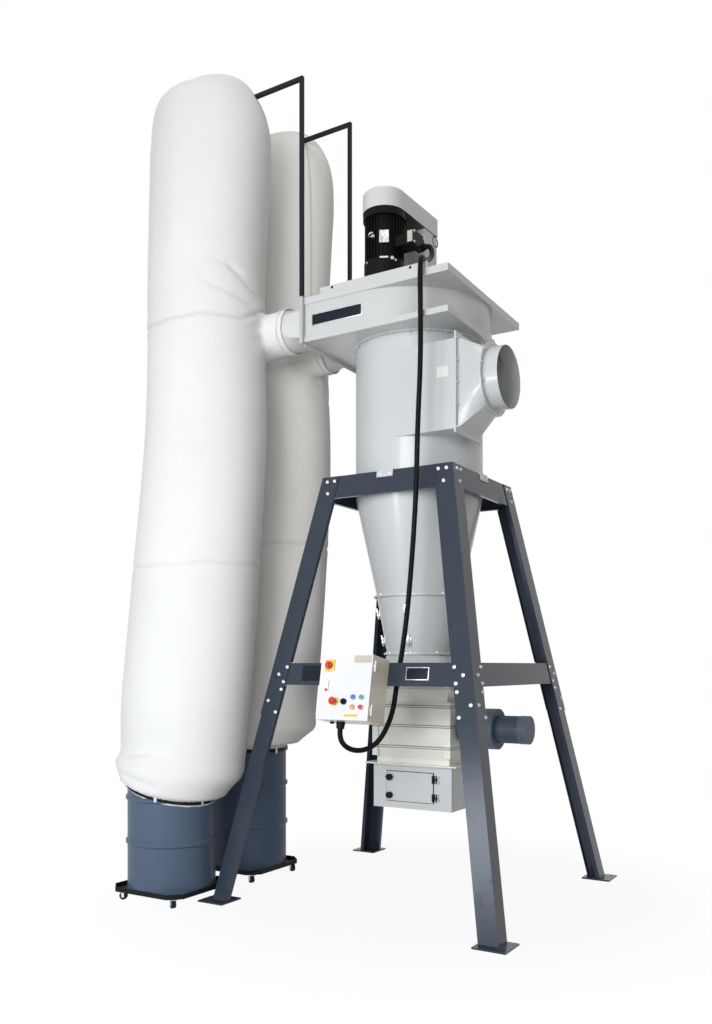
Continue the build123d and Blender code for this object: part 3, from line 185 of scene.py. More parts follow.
def enamel(name, colour, roughness, peel, grime, shine=0.5, coat=0.25, below=None, shade_lines=()):
    """A gloss paint; below is a height and the colour under it, and each line of painted shade is
    at a given height.
    """
    paint = material(name)
    drift = paint.noise(1.3, 2.0)
    grain = paint.noise(90.0, 2.0)
    smudge = paint.step(paint.noise(5.0, 6.0, 0.62), 0.56, 0.78)
    tone = paint.mix(drift, shaded(colour, 0.88), shaded(colour, 1.06))
    tone = paint.mix(smudge * grime, tone, shaded(colour, 0.62))
    if below:
        # Another colour below a height: painted shade on the guard's underside, a real zinc foot on
        # a post.
        level, other = below
        tone = paint.mix(paint.step(paint.along(2), level, level + 0.001), other, tone)
    for line in shade_lines:
        # A dark line of painted shade just under each fold of the airlock.
        away = paint.math("ABSOLUTE", paint.along(2) - line)
        fold_shade = (1 - paint.step(away, 0.0015, 0.0045)) * 0.8
        tone = paint.mix(fold_shade, tone, (0.08, 0.08, 0.07))
    dull = roughness + smudge * 0.16 + (drift - 0.5) * 0.1
    bumps = paint.bump(grain + paint.noise(420.0, 1.0) * 0.4, peel, 0.0006)
    return paint.finish(
        Base_Color=tone, Roughness=dull, Specular_IOR_Level=shine, Coat_Weight=coat,
        Coat_Roughness=0.12, Normal=bumps,
    )


# Heights of the lines of painted shade under the airlock's folds.
fold_shade_heights = (1.241, 1.228, 1.111, 1.098, 0.971, 0.958)
# The guard's underside is painted near black as painted shade.
guard_underside_shade = (4.4003, (0.02, 0.02, 0.02))
post_foot = (3.905, (0.48, 0.49, 0.49))
matt = {"coat": 0.0}
shell_grey = enamel("shell_grey", (0.565, 0.585, 0.595), 0.34, 0.1, 0.12)
airlock_grey = enamel("airlock_grey", (0.8, 0.8, 0.73), 0.38, 0.1, 0.15, shade_lines=fold_shade_heights)
fan_grey = enamel("fan_grey", (0.56, 0.57, 0.565), 0.36, 0.12, 0.14)
branch_grey = enamel("branch_grey", (0.6, 0.61, 0.58), 0.45, 0.12, 0.12, coat=0.1)
guard_grey = enamel("guard_grey", (0.6, 0.605, 0.59), 0.36, 0.12, 0.14, below=guard_underside_shade)
stand_blue = enamel("stand_blue", (0.032, 0.042, 0.062), 0.22, 0.08, 0.25, 0.25, **matt)
hanger_dark = enamel(
    "hanger_dark", (0.016, 0.019, 0.023), 0.46, 0.12, 0.2, 0.08, below=post_foot, **matt
)
drum_blue = enamel("drum_blue", (0.08, 0.112, 0.172), 0.42, 0.14, 0.3, 0.14, **matt)
dolly_dark = enamel("dolly_dark", (0.012, 0.013, 0.015), 0.48, 0.16, 0.35, 0.08, **matt)
motor_black = enamel("motor_black", (0.006, 0.006, 0.006), 0.4, 0.3, 0.3, 0.08, **matt)
gear_blue = enamel("gear_blue", (0.1, 0.128, 0.17), 0.44, 0.3, 0.25, 0.15, **matt)
plate_navy = enamel("plate_navy", (0.012, 0.015, 0.024), 0.44, 0.1, 0.15, 0.1, **matt)
cabinet_cream = enamel("cabinet_cream", (0.8, 0.75, 0.62), 0.4, 0.22, 0.08)
cabinet_white = enamel("cabinet_white", (0.73, 0.735, 0.745), 0.4, 0.22, 0.05)
black_plastic = enamel("black_plastic", (0.008, 0.008, 0.009), 0.42, 0.2, 0.15, 0.1, **matt)
red_plastic = enamel("red_plastic", (0.55, 0.022, 0.018), 0.3, 0.08, 0.08)
yellow_plastic = enamel("yellow_plastic", (0.8, 0.5, 0.03), 0.35, 0.08, 0.08)
blue_plastic = enamel("blue_plastic", (0.02, 0.16, 0.55), 0.28, 0.06, 0.05)
green_plastic = enamel("green_plastic", (0.02, 0.36, 0.3), 0.28, 0.06, 0.05)
amber_plastic = enamel("amber_plastic", (0.72, 0.3, 0.02), 0.28, 0.06, 0.05)
white_plastic = enamel("white_plastic", (0.78, 0.78, 0.76), 0.35, 0.06, 0.05)
beige_plate = enamel("beige_plate", (0.5, 0.46, 0.38), 0.45, 0.06, 0.1)
print("paints ready")

# %% [markdown]
# ## Bare metal and rubber
# Zinc-dipped sheet has a spangle, a patchwork of crystals that each catch the light differently.
# Plated bolts are plainer and brighter. Tyres and the conduit's sheath are dull and a little dusty.

# %% Zinc, plating and rubber
def spangle():
    paint = material("spangled_zinc")
    sockets = {"Vector": paint.place(), "Scale": 65.0}
    cells = paint.node("TexVoronoi", sockets, out="Color")
    patch = paint.node("SeparateXYZ", {0: cells})
    tone = paint.mix(patch, (0.46, 0.48, 0.5), (0.66, 0.67, 0.68))
    dull = 0.3 + patch * 0.18 + paint.noise(9.0) * 0.1
    return paint.finish(Base_Color=tone, Roughness=dull, Metallic=0.9)


def plating():
    paint = material("bolt_plating")
    worn = paint.noise(240.0, 3.0)
    tone = paint.mix(worn, (0.5, 0.51, 0.52), (0.74, 0.74, 0.72))
    return paint.finish(Base_Color=tone, Roughness=0.26 + worn * 0.2, Metallic=0.95)


def rubbery(name, colour, roughness, shine):
    paint = material(name)
    dust = paint.step(paint.noise(24.0, 5.0), 0.5, 0.8)
    tone = paint.mix(dust * 0.12, colour, (0.1, 0.1, 0.095))
    bumps = paint.bump(paint.noise(300.0), 0.25, 0.0008)
    dull = roughness + dust * 0.12
    return paint.finish(Base_Color=tone, Roughness=dull, Specular_IOR_Level=shine, Normal=bumps)


spangled_zinc = spangle()
bolt_plating = plating()
tyre_black = rubbery("tyre_black", (0.018, 0.018, 0.018), 0.62, 0.12)
sheath_black = rubbery("sheath_black", (0.005, 0.005, 0.006), 0.4, 0.07)
print("metal and rubber ready")

# %% [markdown]
# ## Filter cloth
# The bags are white needle felt. Felt has no clear weave, only a fine fuzz, a soft sheen at its
# edges, faint rows from the loom, and grey dust near the hem. Grey painted shade lies in the
# creases
# of the sewn seams: each bag's mesh carries a value named seam, which is one on its sewn seams. A
# line of painted shade also runs up the upper part of each bag, on its right as the camera sees it,
# at an angle about its axis.

# %% Filter cloth
def felt(name, dark, light, upright=None):
    """Cloth between two tones; upright is the axis and the angle of a line of painted shade up it.
    """
    paint = material(name)
    fuzz = paint.noise(700.0, 2.0)
    rows = paint.noise(120.0, 2.0, stretch=(0.2, 0.2, 3.0))
    cloud = paint.noise(2.2, 5.0, 0.6)
    tone = paint.mix(cloud, dark, light)
    high = paint.along(2)
    seam = paint.node("Attribute", out="Fac", attribute_name="seam")
    # Painted shade in the creases of the sewn seams.
    tone = paint.mix(seam * 0.5, tone, (0.5, 0.48, 0.43))
    if upright:
        axis_x, axis_y, angle = upright
        around = paint.math("ARCTAN2", paint.along(1) - axis_y, paint.along(0) - axis_x)
        away = paint.math("ABSOLUTE", around - angle)
        # A line of painted shade up the bag's right side as the camera sees it, on its upper part.
        line = (1 - paint.step(away, 0.018, 0.03)) * paint.step(high, 3.9, 4.0)
        tone = paint.mix(line * 0.75, tone, (0.62, 0.58, 0.47))
    hem_dust = (1 - paint.step(high, 0.68, 1.0)) * paint.step(cloud, 0.35, 0.75)
    tone = paint.mix(hem_dust * 0.3, tone, (0.5, 0.48, 0.44))
    crinkle = paint.noise(22.0, 5.0, 0.62, stretch=(1, 1, 1.8))
    bumps = paint.bump(fuzz * 0.4 + rows * 0.5 + crinkle * 2.2, 0.3, 0.0016)
    return paint.finish(
        Base_Color=tone, Roughness=0.86 + fuzz * 0.1, Normal=bumps, Sheen_Weight=0.45,
        Sheen_Roughness=0.5,
    )


# The back bag's felt is painted lighter and warmer than the front's: painted light on a bag in
# shade.
front_tones = (0.69, 0.69, 0.69), (0.765, 0.765, 0.77)
back_tones_painted_light = (0.8, 0.785, 0.76), (0.88, 0.865, 0.84)
bag_x, bag_half = -1.28, 0.366
cloth_front = felt("felt_front", *front_tones, upright=(bag_x, -0.66, 0.42))
cloth_back_painted_light = felt("felt_back_painted_light", *back_tones_painted_light, upright=(bag_x, 0.14, -0.347))
cloth_tape = felt("felt_tape", *front_tones)
print("cloth ready")

# %% [markdown]
# ## Paint the CAD nodes
# A solid whose shape is right stays as it is and only gets the finish of the longest word that its
# name begins with.

# %% Finishes of the solids
finishes = (
    (stand_blue, "lower_leg upper_leg mid_rail top_rails"),
    (shell_grey, "barrel upper_cone lower_cone hopper vortex_tube inlet_duct inlet_transition"),
    (shell_grey, "discharge_box discharge_door"),
    (fan_grey, "fan_base fan_scroll fan_lid bearing_stand"),
    (airlock_grey, "airlock"), (gear_blue, "gearmotor"), (motor_black, "drive_motor"),
    (guard_grey, "belt_guard"), (branch_grey, "outlet_branches"), (hanger_dark, "hanger"),
    (cloth_front, "filter_bag"), (cloth_tape, "sleeve_bands"), (drum_blue, "drum"),
    (dolly_dark, "dolly"), (spangled_zinc, "caster_fork"), (tyre_black, "caster_wheel"),
    (cabinet_cream, "control_cabinet"), (cabinet_white, "cabinet_door"), (sheath_black, "conduit"),
)
finish_of = {word: paint for paint, words in finishes for word in words.split()}
for name, node in nodes.items():
    key = max((word for word in finish_of if name.startswith(word)), key=len)
    node.data.materials.clear()
    node.data.materials.append(finish_of[key])
print("painted", len(nodes), "solids")

# %% [markdown]
# ## The conduit
# A black flexible conduit leaves the motor's terminal box, hangs down in front of the cyclone,
# passes behind the front rail and loops up into the cabinet's gland. It is one smooth spline
# through the CAD tube's points, and a mesh copy of its bare line is taken before it gets its
# thickness.

# %% Conduit
conduit_route = (
    (0.1995, -0.303, 4.163), (0.2215, -0.303, 4.163), (0.24, -0.305, 4.149), (0.254, -0.313, 4.116),
    (0.263, -0.333, 4.083), (0.269, -0.366, 4.049), (0.275, -0.412, 4.021), (0.29, -0.475, 3.993),
    (0.311, -0.54, 3.97), (0.326, -0.604, 3.96), (0.325, -0.618, 3.885), (0.321, -0.604, 3.68),
    (0.319, -0.598, 3.33), (0.303, -0.606, 2.96), (0.289, -0.597, 2.56), (0.266, -0.606, 2.16),
    (0.221, -0.6, 1.74), (0.16, -0.606, 1.385), (0.141, -0.622, 1.214), (0.101, -0.66, 1.087),
    (0.054, -0.7, 1.014), (-0.005, -0.765, 0.985), (-0.058, -0.83, 1.004),
    (-0.085, -0.874961, 1.066672), (-0.085, -0.863866, 1.125637),
)
conduit_radius = 0.016
curve = bpy.data.curves.new("motor_conduit", "CURVE")
curve.dimensions = "3D"
spline = curve.splines.new("NURBS")
spline.points.add(len(conduit_route) - 1)
for point, place in zip(spline.points, conduit_route):
    point.co = (*place, 1.0)
spline.order_u = 3
spline.use_endpoint_u = True
spline.resolution_u = 12
conduit = bpy.data.objects.new("motor_conduit", curve)
scene.collection.objects.link(conduit)
bare_line = bpy.data.meshes.new_from_object(conduit)
curve.bevel_depth = conduit_radius
curve.bevel_resolution = 4
curve.use_fill_caps = True
curve.materials.append(sheath_black)
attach(conduit, "plant")
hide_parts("conduit")

# %% [markdown]
# ## Helpers for new pieces
# Each new piece is modelled with Blender's operators, then settled: its place goes into its mesh,
# it takes its paint, and it rides on the body that carries it. What repeats is modelled once,
# copied to its places and joined.

# %% Piece helpers
def mode(kind):
    bpy.ops.object.mode_set(mode=kind)


def pick(first, *others):
    """Selects pieces, the first of them as the active one."""
    bpy.ops.object.select_all(action="DESELECT")
    for piece in (first, *others):
        piece.select_set(True)
    bpy.context.view_layer.objects.active = first


def apply_place():
    bpy.ops.object.transform_apply()


def points_of(piece):
    return np.array([vertex.co for vertex in piece.data.vertices])


def joined(first, *others):
    pick(first, *others)
    bpy.ops.object.join()
    return first


def modified(piece, kind, **settings):
    """Adds and applies a modifier."""
    pick(piece)
    modifier = piece.modifiers.new(kind.lower(), kind)
    for key, value in settings.items():
        setattr(modifier, key, value)
    bpy.ops.object.modifier_apply(modifier=modifier.name)
    return piece


def settle(piece, name, paint, body="plant", smooth=40):
    """Ends a piece: place applied to its mesh, named, painted and riding on its body."""
    pick(piece)
    apply_place()
    bpy.ops.object.shade_smooth_by_angle(angle=radians(smooth))
    piece.name = piece.data.name = name
    piece.data.materials.clear()
    piece.data.materials.append(paint)
    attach(piece, body)
    return piece


def copies(name, pattern, placements, paint, body="plant"):
    """Copies a pattern to many places, joins the copies and removes the pattern."""
    made = []
    for matrix in placements:
        twin = pattern.copy()
        twin.data = pattern.data.copy()
        twin.data.transform(matrix)
        scene.collection.objects.link(twin)
        made.append(twin)
    bpy.data.objects.remove(pattern)
    return settle(joined(*made), name, paint, body)


# %% [markdown]
# ## The bags
# Each bag is a tall cloth tube, inflated but slack, that leans from its drum to its hanger. A
# sphere's rings are pulled out into the tall shape, and a sleeve is made to be joined on. A row of
# the table holds a height, how far the bag leans back there, and its half widths across and in
# depth, as shares of bag_half.

# %% Bag shape
bag_rows = np.array((
    (0.7, 0.0, 0.81, 0.81), (0.77, 0.03, 1.02, 0.95), (0.945, 0.108, 1.2, 1.0),
    (1.275, 0.13, 1.26, 1.0), (1.75, 0.188, 1.26, 1.0), (2.216, 0.245, 1.25, 1.0),
    (2.767, 0.311, 1.23, 1.0), (3.181, 0.337, 1.19, 1.0), (3.659, 0.337, 1.13, 0.99),
    (4.071, 0.342, 1.14, 1.0), (4.771, 0.379, 1.2, 1.0), (5.0, 0.387, 1.2, 1.0),
    (5.2, 0.394, 1.14, 0.97), (5.34, 0.399, 1.0, 0.86), (5.44, 0.403, 0.8, 0.54),
    (5.5, 0.405, 0.5, 0.3), (5.525, 0.406, 0.22, 0.15),
))
back_rows = bag_rows.copy()
back_rows[:3, 0] = 0.918, 0.965, 1.085
bottom_share, top_share, lean_run = 0.03, 0.004, 0.108
sleeve_z, sleeve_radius, sleeve_length, sleeve_middle = 3.74, 0.1425, 0.43, -0.915
flare_start, flare_run, flare_share = -0.84, 0.29, 0.22


def ramp(values, start, run):
    """Rises from zero at the start to one after the run."""
    return np.clip((values - start) / run, 0, 1)


def row_at(rows, share):
    """The bag's row at a share of its rows, on a smooth curve through them."""
    place = np.clip(share, 0, 1) * (len(rows) - 1)
    first = np.clip(place.astype(int), 0, len(rows) - 2)
    part = (place - first)[:, None]
    before = rows[np.clip(first - 1, 0, None)]
    start, end = rows[first], rows[first + 1]
    after = rows[np.clip(first + 2, None, len(rows) - 1)]
    rise, fall = (end - before) / 2, (after - start) / 2
    square, cube = part**2, part**3
    return (
        (2 * cube - 3 * square + 1) * start + (cube - 2 * square + part) * rise
        + (3 * square - 2 * cube) * end + (cube - square) * fall
    )


def bag_body(rows, drum_y, shift):
    """A sphere whose rings are pulled out to the bag's rows; its lowest rings close the bottom."""
    bpy.ops.mesh.primitive_uv_sphere_add(segments=96, ring_count=180, radius=1.0)
    body = bpy.context.object
    points = points_of(body)
    rise = np.arcsin(np.clip(points[:, 2], -1, 1)) / pi + 0.5
    around = np.arctan2(points[:, 1], points[:, 0])
    closing = ramp(rise, 0, bottom_share) * ramp(1 - rise, 0, top_share)
    row = row_at(rows, (rise - bottom_share) / (1 - bottom_share))
    back = row[:, 1] + shift * ramp(row[:, 1], 0, lean_run)
    points[:, 0] = bag_x + row[:, 2] * bag_half * closing * np.cos(around)
    points[:, 1] = drum_y + back + row[:, 3] * bag_half * closing * np.sin(around)
    points[:, 2] = row[:, 0]
    body.data.vertices.foreach_set("co", points.ravel())
    return body


def bag_sleeve(sleeve_y):
    """The side sleeve, a tube that flares where it is sewn into the bag."""
    bpy.ops.mesh.primitive_cylinder_add(
        vertices=72, radius=sleeve_radius, depth=sleeve_length,
        location=(sleeve_middle, sleeve_y, sleeve_z), rotation=(0, pi / 2, 0),
    )
    sleeve = bpy.context.object
    apply_place()
    mode("EDIT")
    bpy.ops.mesh.subdivide(number_cuts=14)
    mode("OBJECT")
    for vertex in sleeve.data.vertices:
        flare = 1 + flare_share * max(0.0, (flare_start - vertex.co.x) / flare_run) ** 2
        vertex.co.y = sleeve_y + (vertex.co.y - sleeve_y) * flare
        vertex.co.z = sleeve_z + (vertex.co.z - sleeve_z) * flare
    return sleeve


print("bag rows", len(bag_rows), "from", bag_rows[0, 0], "to", bag_rows[-1, 0])

# %% [markdown]
# ## Folds of the cloth
# A slack bag has slow swells, a puckered groove along each seam, creases near its sleeve, and
# gathers at the hem. Each is a small wave that moves the mesh along its normals, so it can lie
# where the photograph shows it. Creases are given as the camera sees them: right of the axis, and
# height.

# %% Bag folds
swell_count, swell_low, swell_high = 10, 0.0012, 0.0026
seam_width, groove_depth, groove_width = 0.01, 0.01, 0.015
lip_depth, lip_place, lip_width = 0.004, 0.035, 0.025
collar_swell, collar_rise, collar_width = 0.024, 0.15, 0.05


def ridge(away, width):
    """One on a line, falling smoothly to zero on both sides."""
    return np.exp(-((away / width) ** 2))


def polar(points, centre):
    """Distance and angle of points about a centre, given for two of their axes."""
    first, second = (points[:, axis] - middle for axis, middle in centre.items())
    return np.hypot(first, second), np.arctan2(second, first)


def scale_about(points, centre, ratio):
    """Moves points away from a centre or towards it, in its two axes."""
    for axis, middle in centre.items():
        points[:, axis] = middle + (points[:, axis] - middle) * ratio


def sideways(points, centre_y):
    """How far points lie to the right of a bag's axis, and towards the camera from it."""
    deep = points[:, 1] - centre_y
    wide = points[:, 0] - bag_x
    right = wide * cos(turn) + deep * sin(turn)
    return right, wide * sin(turn) - deep * cos(turn)


def crease(right, high, start, end, depth, width):
    """A groove along a straight line from start to end, each as right of the axis and height."""
    along = np.subtract(end, start)
    length = np.hypot(*along)
    unit = along / length
    run = (right - start[0]) * unit[0] + (high - start[1]) * unit[1]
    off = (high - start[1]) * unit[0] - (right - start[0]) * unit[1]
    beyond = np.clip(np.abs(run - length / 2) - length / 2, 0, None)
    return -depth * ridge(off, width) * ridge(beyond, 2 * width)


def swells(around, high, seed):
    """Slow random waves all over a bag."""
    chance = np.random.default_rng(seed)
    moved = np.zeros(len(high))
    for _ in range(swell_count):
        turns, waves = chance.integers(1, 6), chance.uniform(0.4, 2.4)
        phase, tilt = chance.uniform(0, 6.28, 2)
        size = chance.uniform(swell_low, swell_high)
        wave = np.sin(turns * around + waves * high + phase)
        moved += size * wave * np.cos(0.8 * waves * high + tilt)
    return moved


def folds(points, hem_low, drum_y, sleeve_y, seams, creases, seed):
    """How far each point moves along its normal, and how much painted seam shade it carries."""
    high = points[:, 2]
    _, around = polar(points, {0: bag_x, 1: drum_y + 0.2})
    right, near = sideways(points, drum_y + 0.335)
    reach, spoke = polar(points, {1: sleeve_y, 2: sleeve_z})
    moved = swells(around, high, seed) * np.clip((high - hem_low) / 0.2, 0.1, 1)
    on_bag = 1 - ramp(points[:, 0], -0.86, 0.015) * (reach < 0.17)
    seam_shade = np.zeros(len(points))
    for seam, lift, strength in seams:
        wave = seam + 0.006 * np.sin(3 * around + seed) + 0.004 * np.sin(7 * around)
        away = high - wave - lift * ramp(right, 0.26, 0.14) ** 2
        # The mask of painted shade along each seam, used by the cloth's colour.
        seam_shade = np.maximum(seam_shade, strength * on_bag * ridge(away, seam_width))
        groove = groove_depth * ridge(away, groove_width)
        groove -= lip_depth * ridge(np.abs(away) - lip_place, lip_width)
        puckers = 0.0012 * np.sin(46 * around + 3 * np.sin(9 * around))
        moved += strength * on_bag * (puckers * np.exp(-np.abs(away) / lip_place) - groove)
    for start, end, depth, width in creases:
        moved += np.where(near > -0.15, crease(right, high, start, end, depth, width), 0)
    moved += collar_swell * ridge(high - hem_low - collar_rise, collar_width)
    hem = np.exp(-np.clip(high - hem_low, 0, None) / 0.06)
    moved += 0.0012 * hem * np.sin(30 * around + 2.2 * np.sin(5 * around + seed))
    pull = np.exp(-np.clip(reach - 0.15, 0, None) / 0.12) * ramp(reach, 0.1, 0.06)
    pull *= ramp(points[:, 0], bag_x, 0.25)
    moved += 0.0045 * pull * np.sin(11 * spoke + 1.7 * np.sin(3 * spoke + seed) + 6 * reach)
    return moved, seam_shade


# %% [markdown]
# ## Hanging the bags
# A voxel remesh melts the bag and its sleeve into one skin, which is then folded. The hem is tied
# and slides down its drum where the bag is slack, the sleeve is made round again and pleated, and
# the cloth is kept outside the drum's wall.

# %% Bags
drum_radius, drum_top, drum_clear, tied_radius = 0.2815, 0.905, 0.005, 0.287
hem_reach, tie_height, tie_run, voxel = 0.35, 0.04, 0.014, 0.0135
crown_low, crown_run, crown_shift, crown_top = 5.1, 0.25, 0.025, 5.528


def slide(points, low, drum_y, slack):
    """Lets the hem slide down its drum, most on the right and in front."""
    right, near = sideways(points, drum_y)
    share = ramp(low + hem_reach - points[:, 2], 0, hem_reach) ** 1.5
    points[:, 2] -= slack * share * (0.012 + 0.21 * right + 0.171 * near)


def tie_hem(points, low, drum_y):
    """Draws the hem in to the strap that ties it."""
    wide, _ = polar(points, {0: bag_x, 1: drum_y})
    tied = ramp(low + tie_height - points[:, 2], 0, tie_run)
    pinch = 1 - tied * np.clip(1 - tied_radius / np.maximum(wide, 0.1), 0, None)
    scale_about(points, {0: bag_x, 1: drum_y}, pinch)


def gather_sleeve(points, normals, sleeve_y):
    """Makes the sleeve round again and pleats it where it is tied."""
    reach, spoke = polar(points, {1: sleeve_y, 2: sleeve_z})
    tube = ramp(points[:, 0], -0.9, 0.08) * (np.abs(normals[:, 0]) < 0.6)
    pleats = np.sin(24 * spoke + 2 * np.sin(5 * spoke) + 90 * points[:, 0])
    radius = sleeve_radius + 0.0018 * ridge(points[:, 0] + 0.77, 0.03) * pleats
    grow = 1 + tube * (radius / np.maximum(reach, 0.05) - 1)
    scale_about(points, {1: sleeve_y, 2: sleeve_z}, grow)


def clear_drum(points, normals, drum_y):
    """Keeps the cloth outside its drum's wall."""
    wide, _ = polar(points, {0: bag_x, 1: drum_y})
    clear = drum_radius + drum_clear
    over = (points[:, 2] < drum_top + 0.03) & (normals[:, 2] > -0.6) & (wide < clear)
    push = np.where(over, clear / np.maximum(wide, 0.1), 1)
    scale_about(points, {0: bag_x, 1: drum_y}, push)


def make_bag(name, node, rows, drum_y, shift, sleeve_y, seams, creases, slack, seed, paint):
    body = joined(bag_body(rows, drum_y, shift), bag_sleeve(sleeve_y))
    modified(body, "REMESH", mode="VOXEL", voxel_size=voxel)
    modified(body, "SMOOTH", factor=0.5, iterations=12)
    points = points_of(body)
    normals = np.array([vertex.normal for vertex in body.data.vertices])
    low = rows[0, 0]
    moved, seam_shade = folds(points, low, drum_y, sleeve_y, seams, creases, seed)
    points += normals * moved[:, None]
    tie_hem(points, low, drum_y)
    slide(points, low, drum_y, slack)
    points[:, 0] -= crown_shift * slack * ramp(points[:, 2], crown_low, crown_run)
    points[:, 2] = np.minimum(points[:, 2], crown_top)
    gather_sleeve(points, normals, sleeve_y)
    clear_drum(points, normals, drum_y)
    body.data.vertices.foreach_set("co", points.ravel())
    body.data.attributes.new("seam", "FLOAT", "POINT").data.foreach_set("value", seam_shade)
    body.data.update()
    settle(body, name, paint, smooth=180)
    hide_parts(node)
    print(name, "faces", len(body.data.polygons))


bags = {
    "front": {
        "rows": bag_rows, "drum_y": -1.024, "shift": 0.0, "sleeve_y": -0.4735,
        "seams": ((2.15, 0, 0.5), (3.76, 0.14, 0.9)), "slack": 1.0, "seed": 3,
        "creases": (
            ((0.08, 4.32), (0.34, 4.315), 0.009, 0.019), ((0.23, 4.07), (0.36, 3.96), 0.013, 0.02),
            ((0.06, 3.98), (0.32, 3.88), 0.013, 0.02), ((0.14, 4.12), (0.34, 4.03), 0.009, 0.018),
            ((-0.42, 0.8), (-0.24, 0.79), 0.016, 0.016),
        ),
        "paint": cloth_front,
    },
    "back": {
        "rows": back_rows, "drum_y": -0.234, "shift": 0.005, "sleeve_y": -0.0035,
        "seams": ((2.37, 0, 0.6), (3.98, 0, 0.8)), "slack": 0.1, "seed": 8,
        "creases": (
            ((0.1, 3.52), (0.38, 3.48), 0.007, 0.02), ((0.16, 3.4), (0.36, 3.3), 0.006, 0.02),
        ),
        "paint": cloth_back_painted_light,
    },
}
for side, bag in bags.items():
    make_bag(f"bag_{side}", f"filter_bag_{side}", **bag)

# %% [markdown]
# ## Shapes for small hardware
# A plate is a cube pressed thin, with eased edges and sometimes a pressed field. A turned piece is
# a short cylinder whose top face is pulled up and widened or narrowed, step by step, as on a lathe.
# A ring is a torus. A bolt is a six-sided prism with a pressed head on a washer.

# %% Plates, turned pieces, rings and bolts
to_front, to_right = (0, -1, 0), (1, 0, 0)
large_bolt, small_bolt = 0.009, 0.0062
press_share, ease_share = 0.4, 0.2


def top_face(piece):
    """Goes into edit mode with only the piece's top face selected."""
    pick(piece)
    mode("EDIT")
    bpy.ops.mesh.select_mode(type="FACE")
    bpy.ops.mesh.select_all(action="DESELECT")
    mode("OBJECT")
    max(piece.data.polygons, key=lambda face: face.center.z).select = True
    mode("EDIT")


def plate(width, height, thick, rim=0.0):
    """A plate on z = 0, with eased edges and, if asked, a rim round a pressed field."""
    middle, size = (0, 0, thick / 2), (width, height, thick)
    bpy.ops.mesh.primitive_cube_add(size=1.0, location=middle, scale=size)
    piece = bpy.context.object
    apply_place()
    if rim:
        top_face(piece)
        bpy.ops.mesh.inset(thickness=rim)
        bpy.ops.transform.translate(value=(0, 0, -thick * press_share))
        mode("OBJECT")
    return modified(piece, "BEVEL", width=thick * ease_share, segments=2, limit_method="ANGLE")


def turned(radius, first, steps, vertices=24):
    """A turned piece on z = 0; each step pulls its top face up and widens or narrows it."""
    bpy.ops.mesh.primitive_cylinder_add(
        vertices=vertices, radius=radius, depth=first, location=(0, 0, first / 2)
    )
    piece = bpy.context.object
    apply_place()
    top_face(piece)
    for rise, ratio in steps:
        bpy.ops.mesh.extrude_region_move(TRANSFORM_OT_translate={"value": (0, 0, rise)})
        bpy.ops.transform.resize(value=(ratio, ratio, 1))
    mode("OBJECT")
    return piece


def ring(radius, thick, segments, sides, place=(0, 0, 0), spin=(0, 0, 0)):
    """A torus; its place and its turn go into its mesh."""
    bpy.ops.mesh.primitive_torus_add(
        major_radius=radius, minor_radius=thick, major_segments=segments, minor_segments=sides,
        location=place, rotation=spin,
    )
    apply_place()
    return bpy.context.object


def bolt(size):
    """A hexagon head on a washer; size is the head's radius."""
    head = turned(size, size * 1.05, ((size * 0.12, 0.82),), vertices=6)
    return joined(head, turned(size * 1.3, size * 0.2, ((size * 0.06, 0.92),), vertices=12))


def at(place, normal, spin=0.0):
    """A place on a surface: z along its normal and y upwards, then turned by the spin."""
    facing = Vector(normal).to_track_quat("Z", "Y").to_matrix().to_4x4()
    return Matrix.Translation(Vector(place)) @ facing @ Matrix.Rotation(spin, 4, "Z")


def lifted(piece, *place):
    """Moves a piece's mesh before it is joined to another."""
    piece.data.transform(Matrix.Translation(place))
    return piece


def put(piece, matrix, name, paint, body="plant"):
    """Settles a piece at its place."""
    piece.data.transform(matrix)
    return settle(piece, name, paint, body)


print("hardware shapes ready")

# %% [markdown]
# ## Bolts of the stand
# The legs, splices and rails are bolted through their flanges, and the barrel's four lugs are
# bolted to the top rails. Each bolt leans with its face. A leg's bolts are given as a distance in
# from the corner and a height.

# %% Bolts on the stand
stand_foot, stand_top, stand_height = 0.984, 0.469, 2.737
lean = (stand_foot - stand_top) / stand_height
lug_z, lug_aside, lug_gap = 2.716, 0.034, 0.001
leg_bolts = (
    (0.113, 1.495), (0.062, 1.448), (0.113, 1.4), (0.111, 1.351), (0.032, 1.278), (0.113, 1.206),
    (0.045, 2.705), (0.1, 2.705), (0.072, 2.625),
)


def half_at(height):
    """Half the stand's width at a height."""
    return stand_foot - lean * height


stand_places = []
for side_x in (-1, 1):
    for side_y in (-1, 1):
        for inset, height in leg_bolts:
            half = half_at(height)
            on_face = (side_x * (half - inset), side_y * half, height)
            on_side = (side_x * half, side_y * (half - inset), height)
            stand_places.append(at(on_face, (0, side_y, lean), height * 9))
            stand_places.append(at(on_side, (side_x, 0, lean), height * 7))
copies("stand_bolts", bolt(large_bolt), stand_places, bolt_plating)
lug_face = half_at(lug_z) + lug_gap
lug_places = []
for out_x, out_y in ((0, -1), (0, 1), (-1, 0), (1, 0)):
    for aside in (-lug_aside, lug_aside):
        place = (out_x * lug_face + out_y * aside, out_y * lug_face + out_x * aside, lug_z)
        lug_places.append(at(place, (out_x, out_y, lean)))
copies("lug_bolts", bolt(small_bolt), lug_places, bolt_plating)
print("stand bolts", len(stand_places) + len(lug_places))

# %% [markdown]
# ## Bolts of the flanges
# Ring flanges join the cones, the fan sits on the barrel's flange, and rectangular flanges join the
# inlet duct. A ring is given by its bolts' circle, height, number and direction.

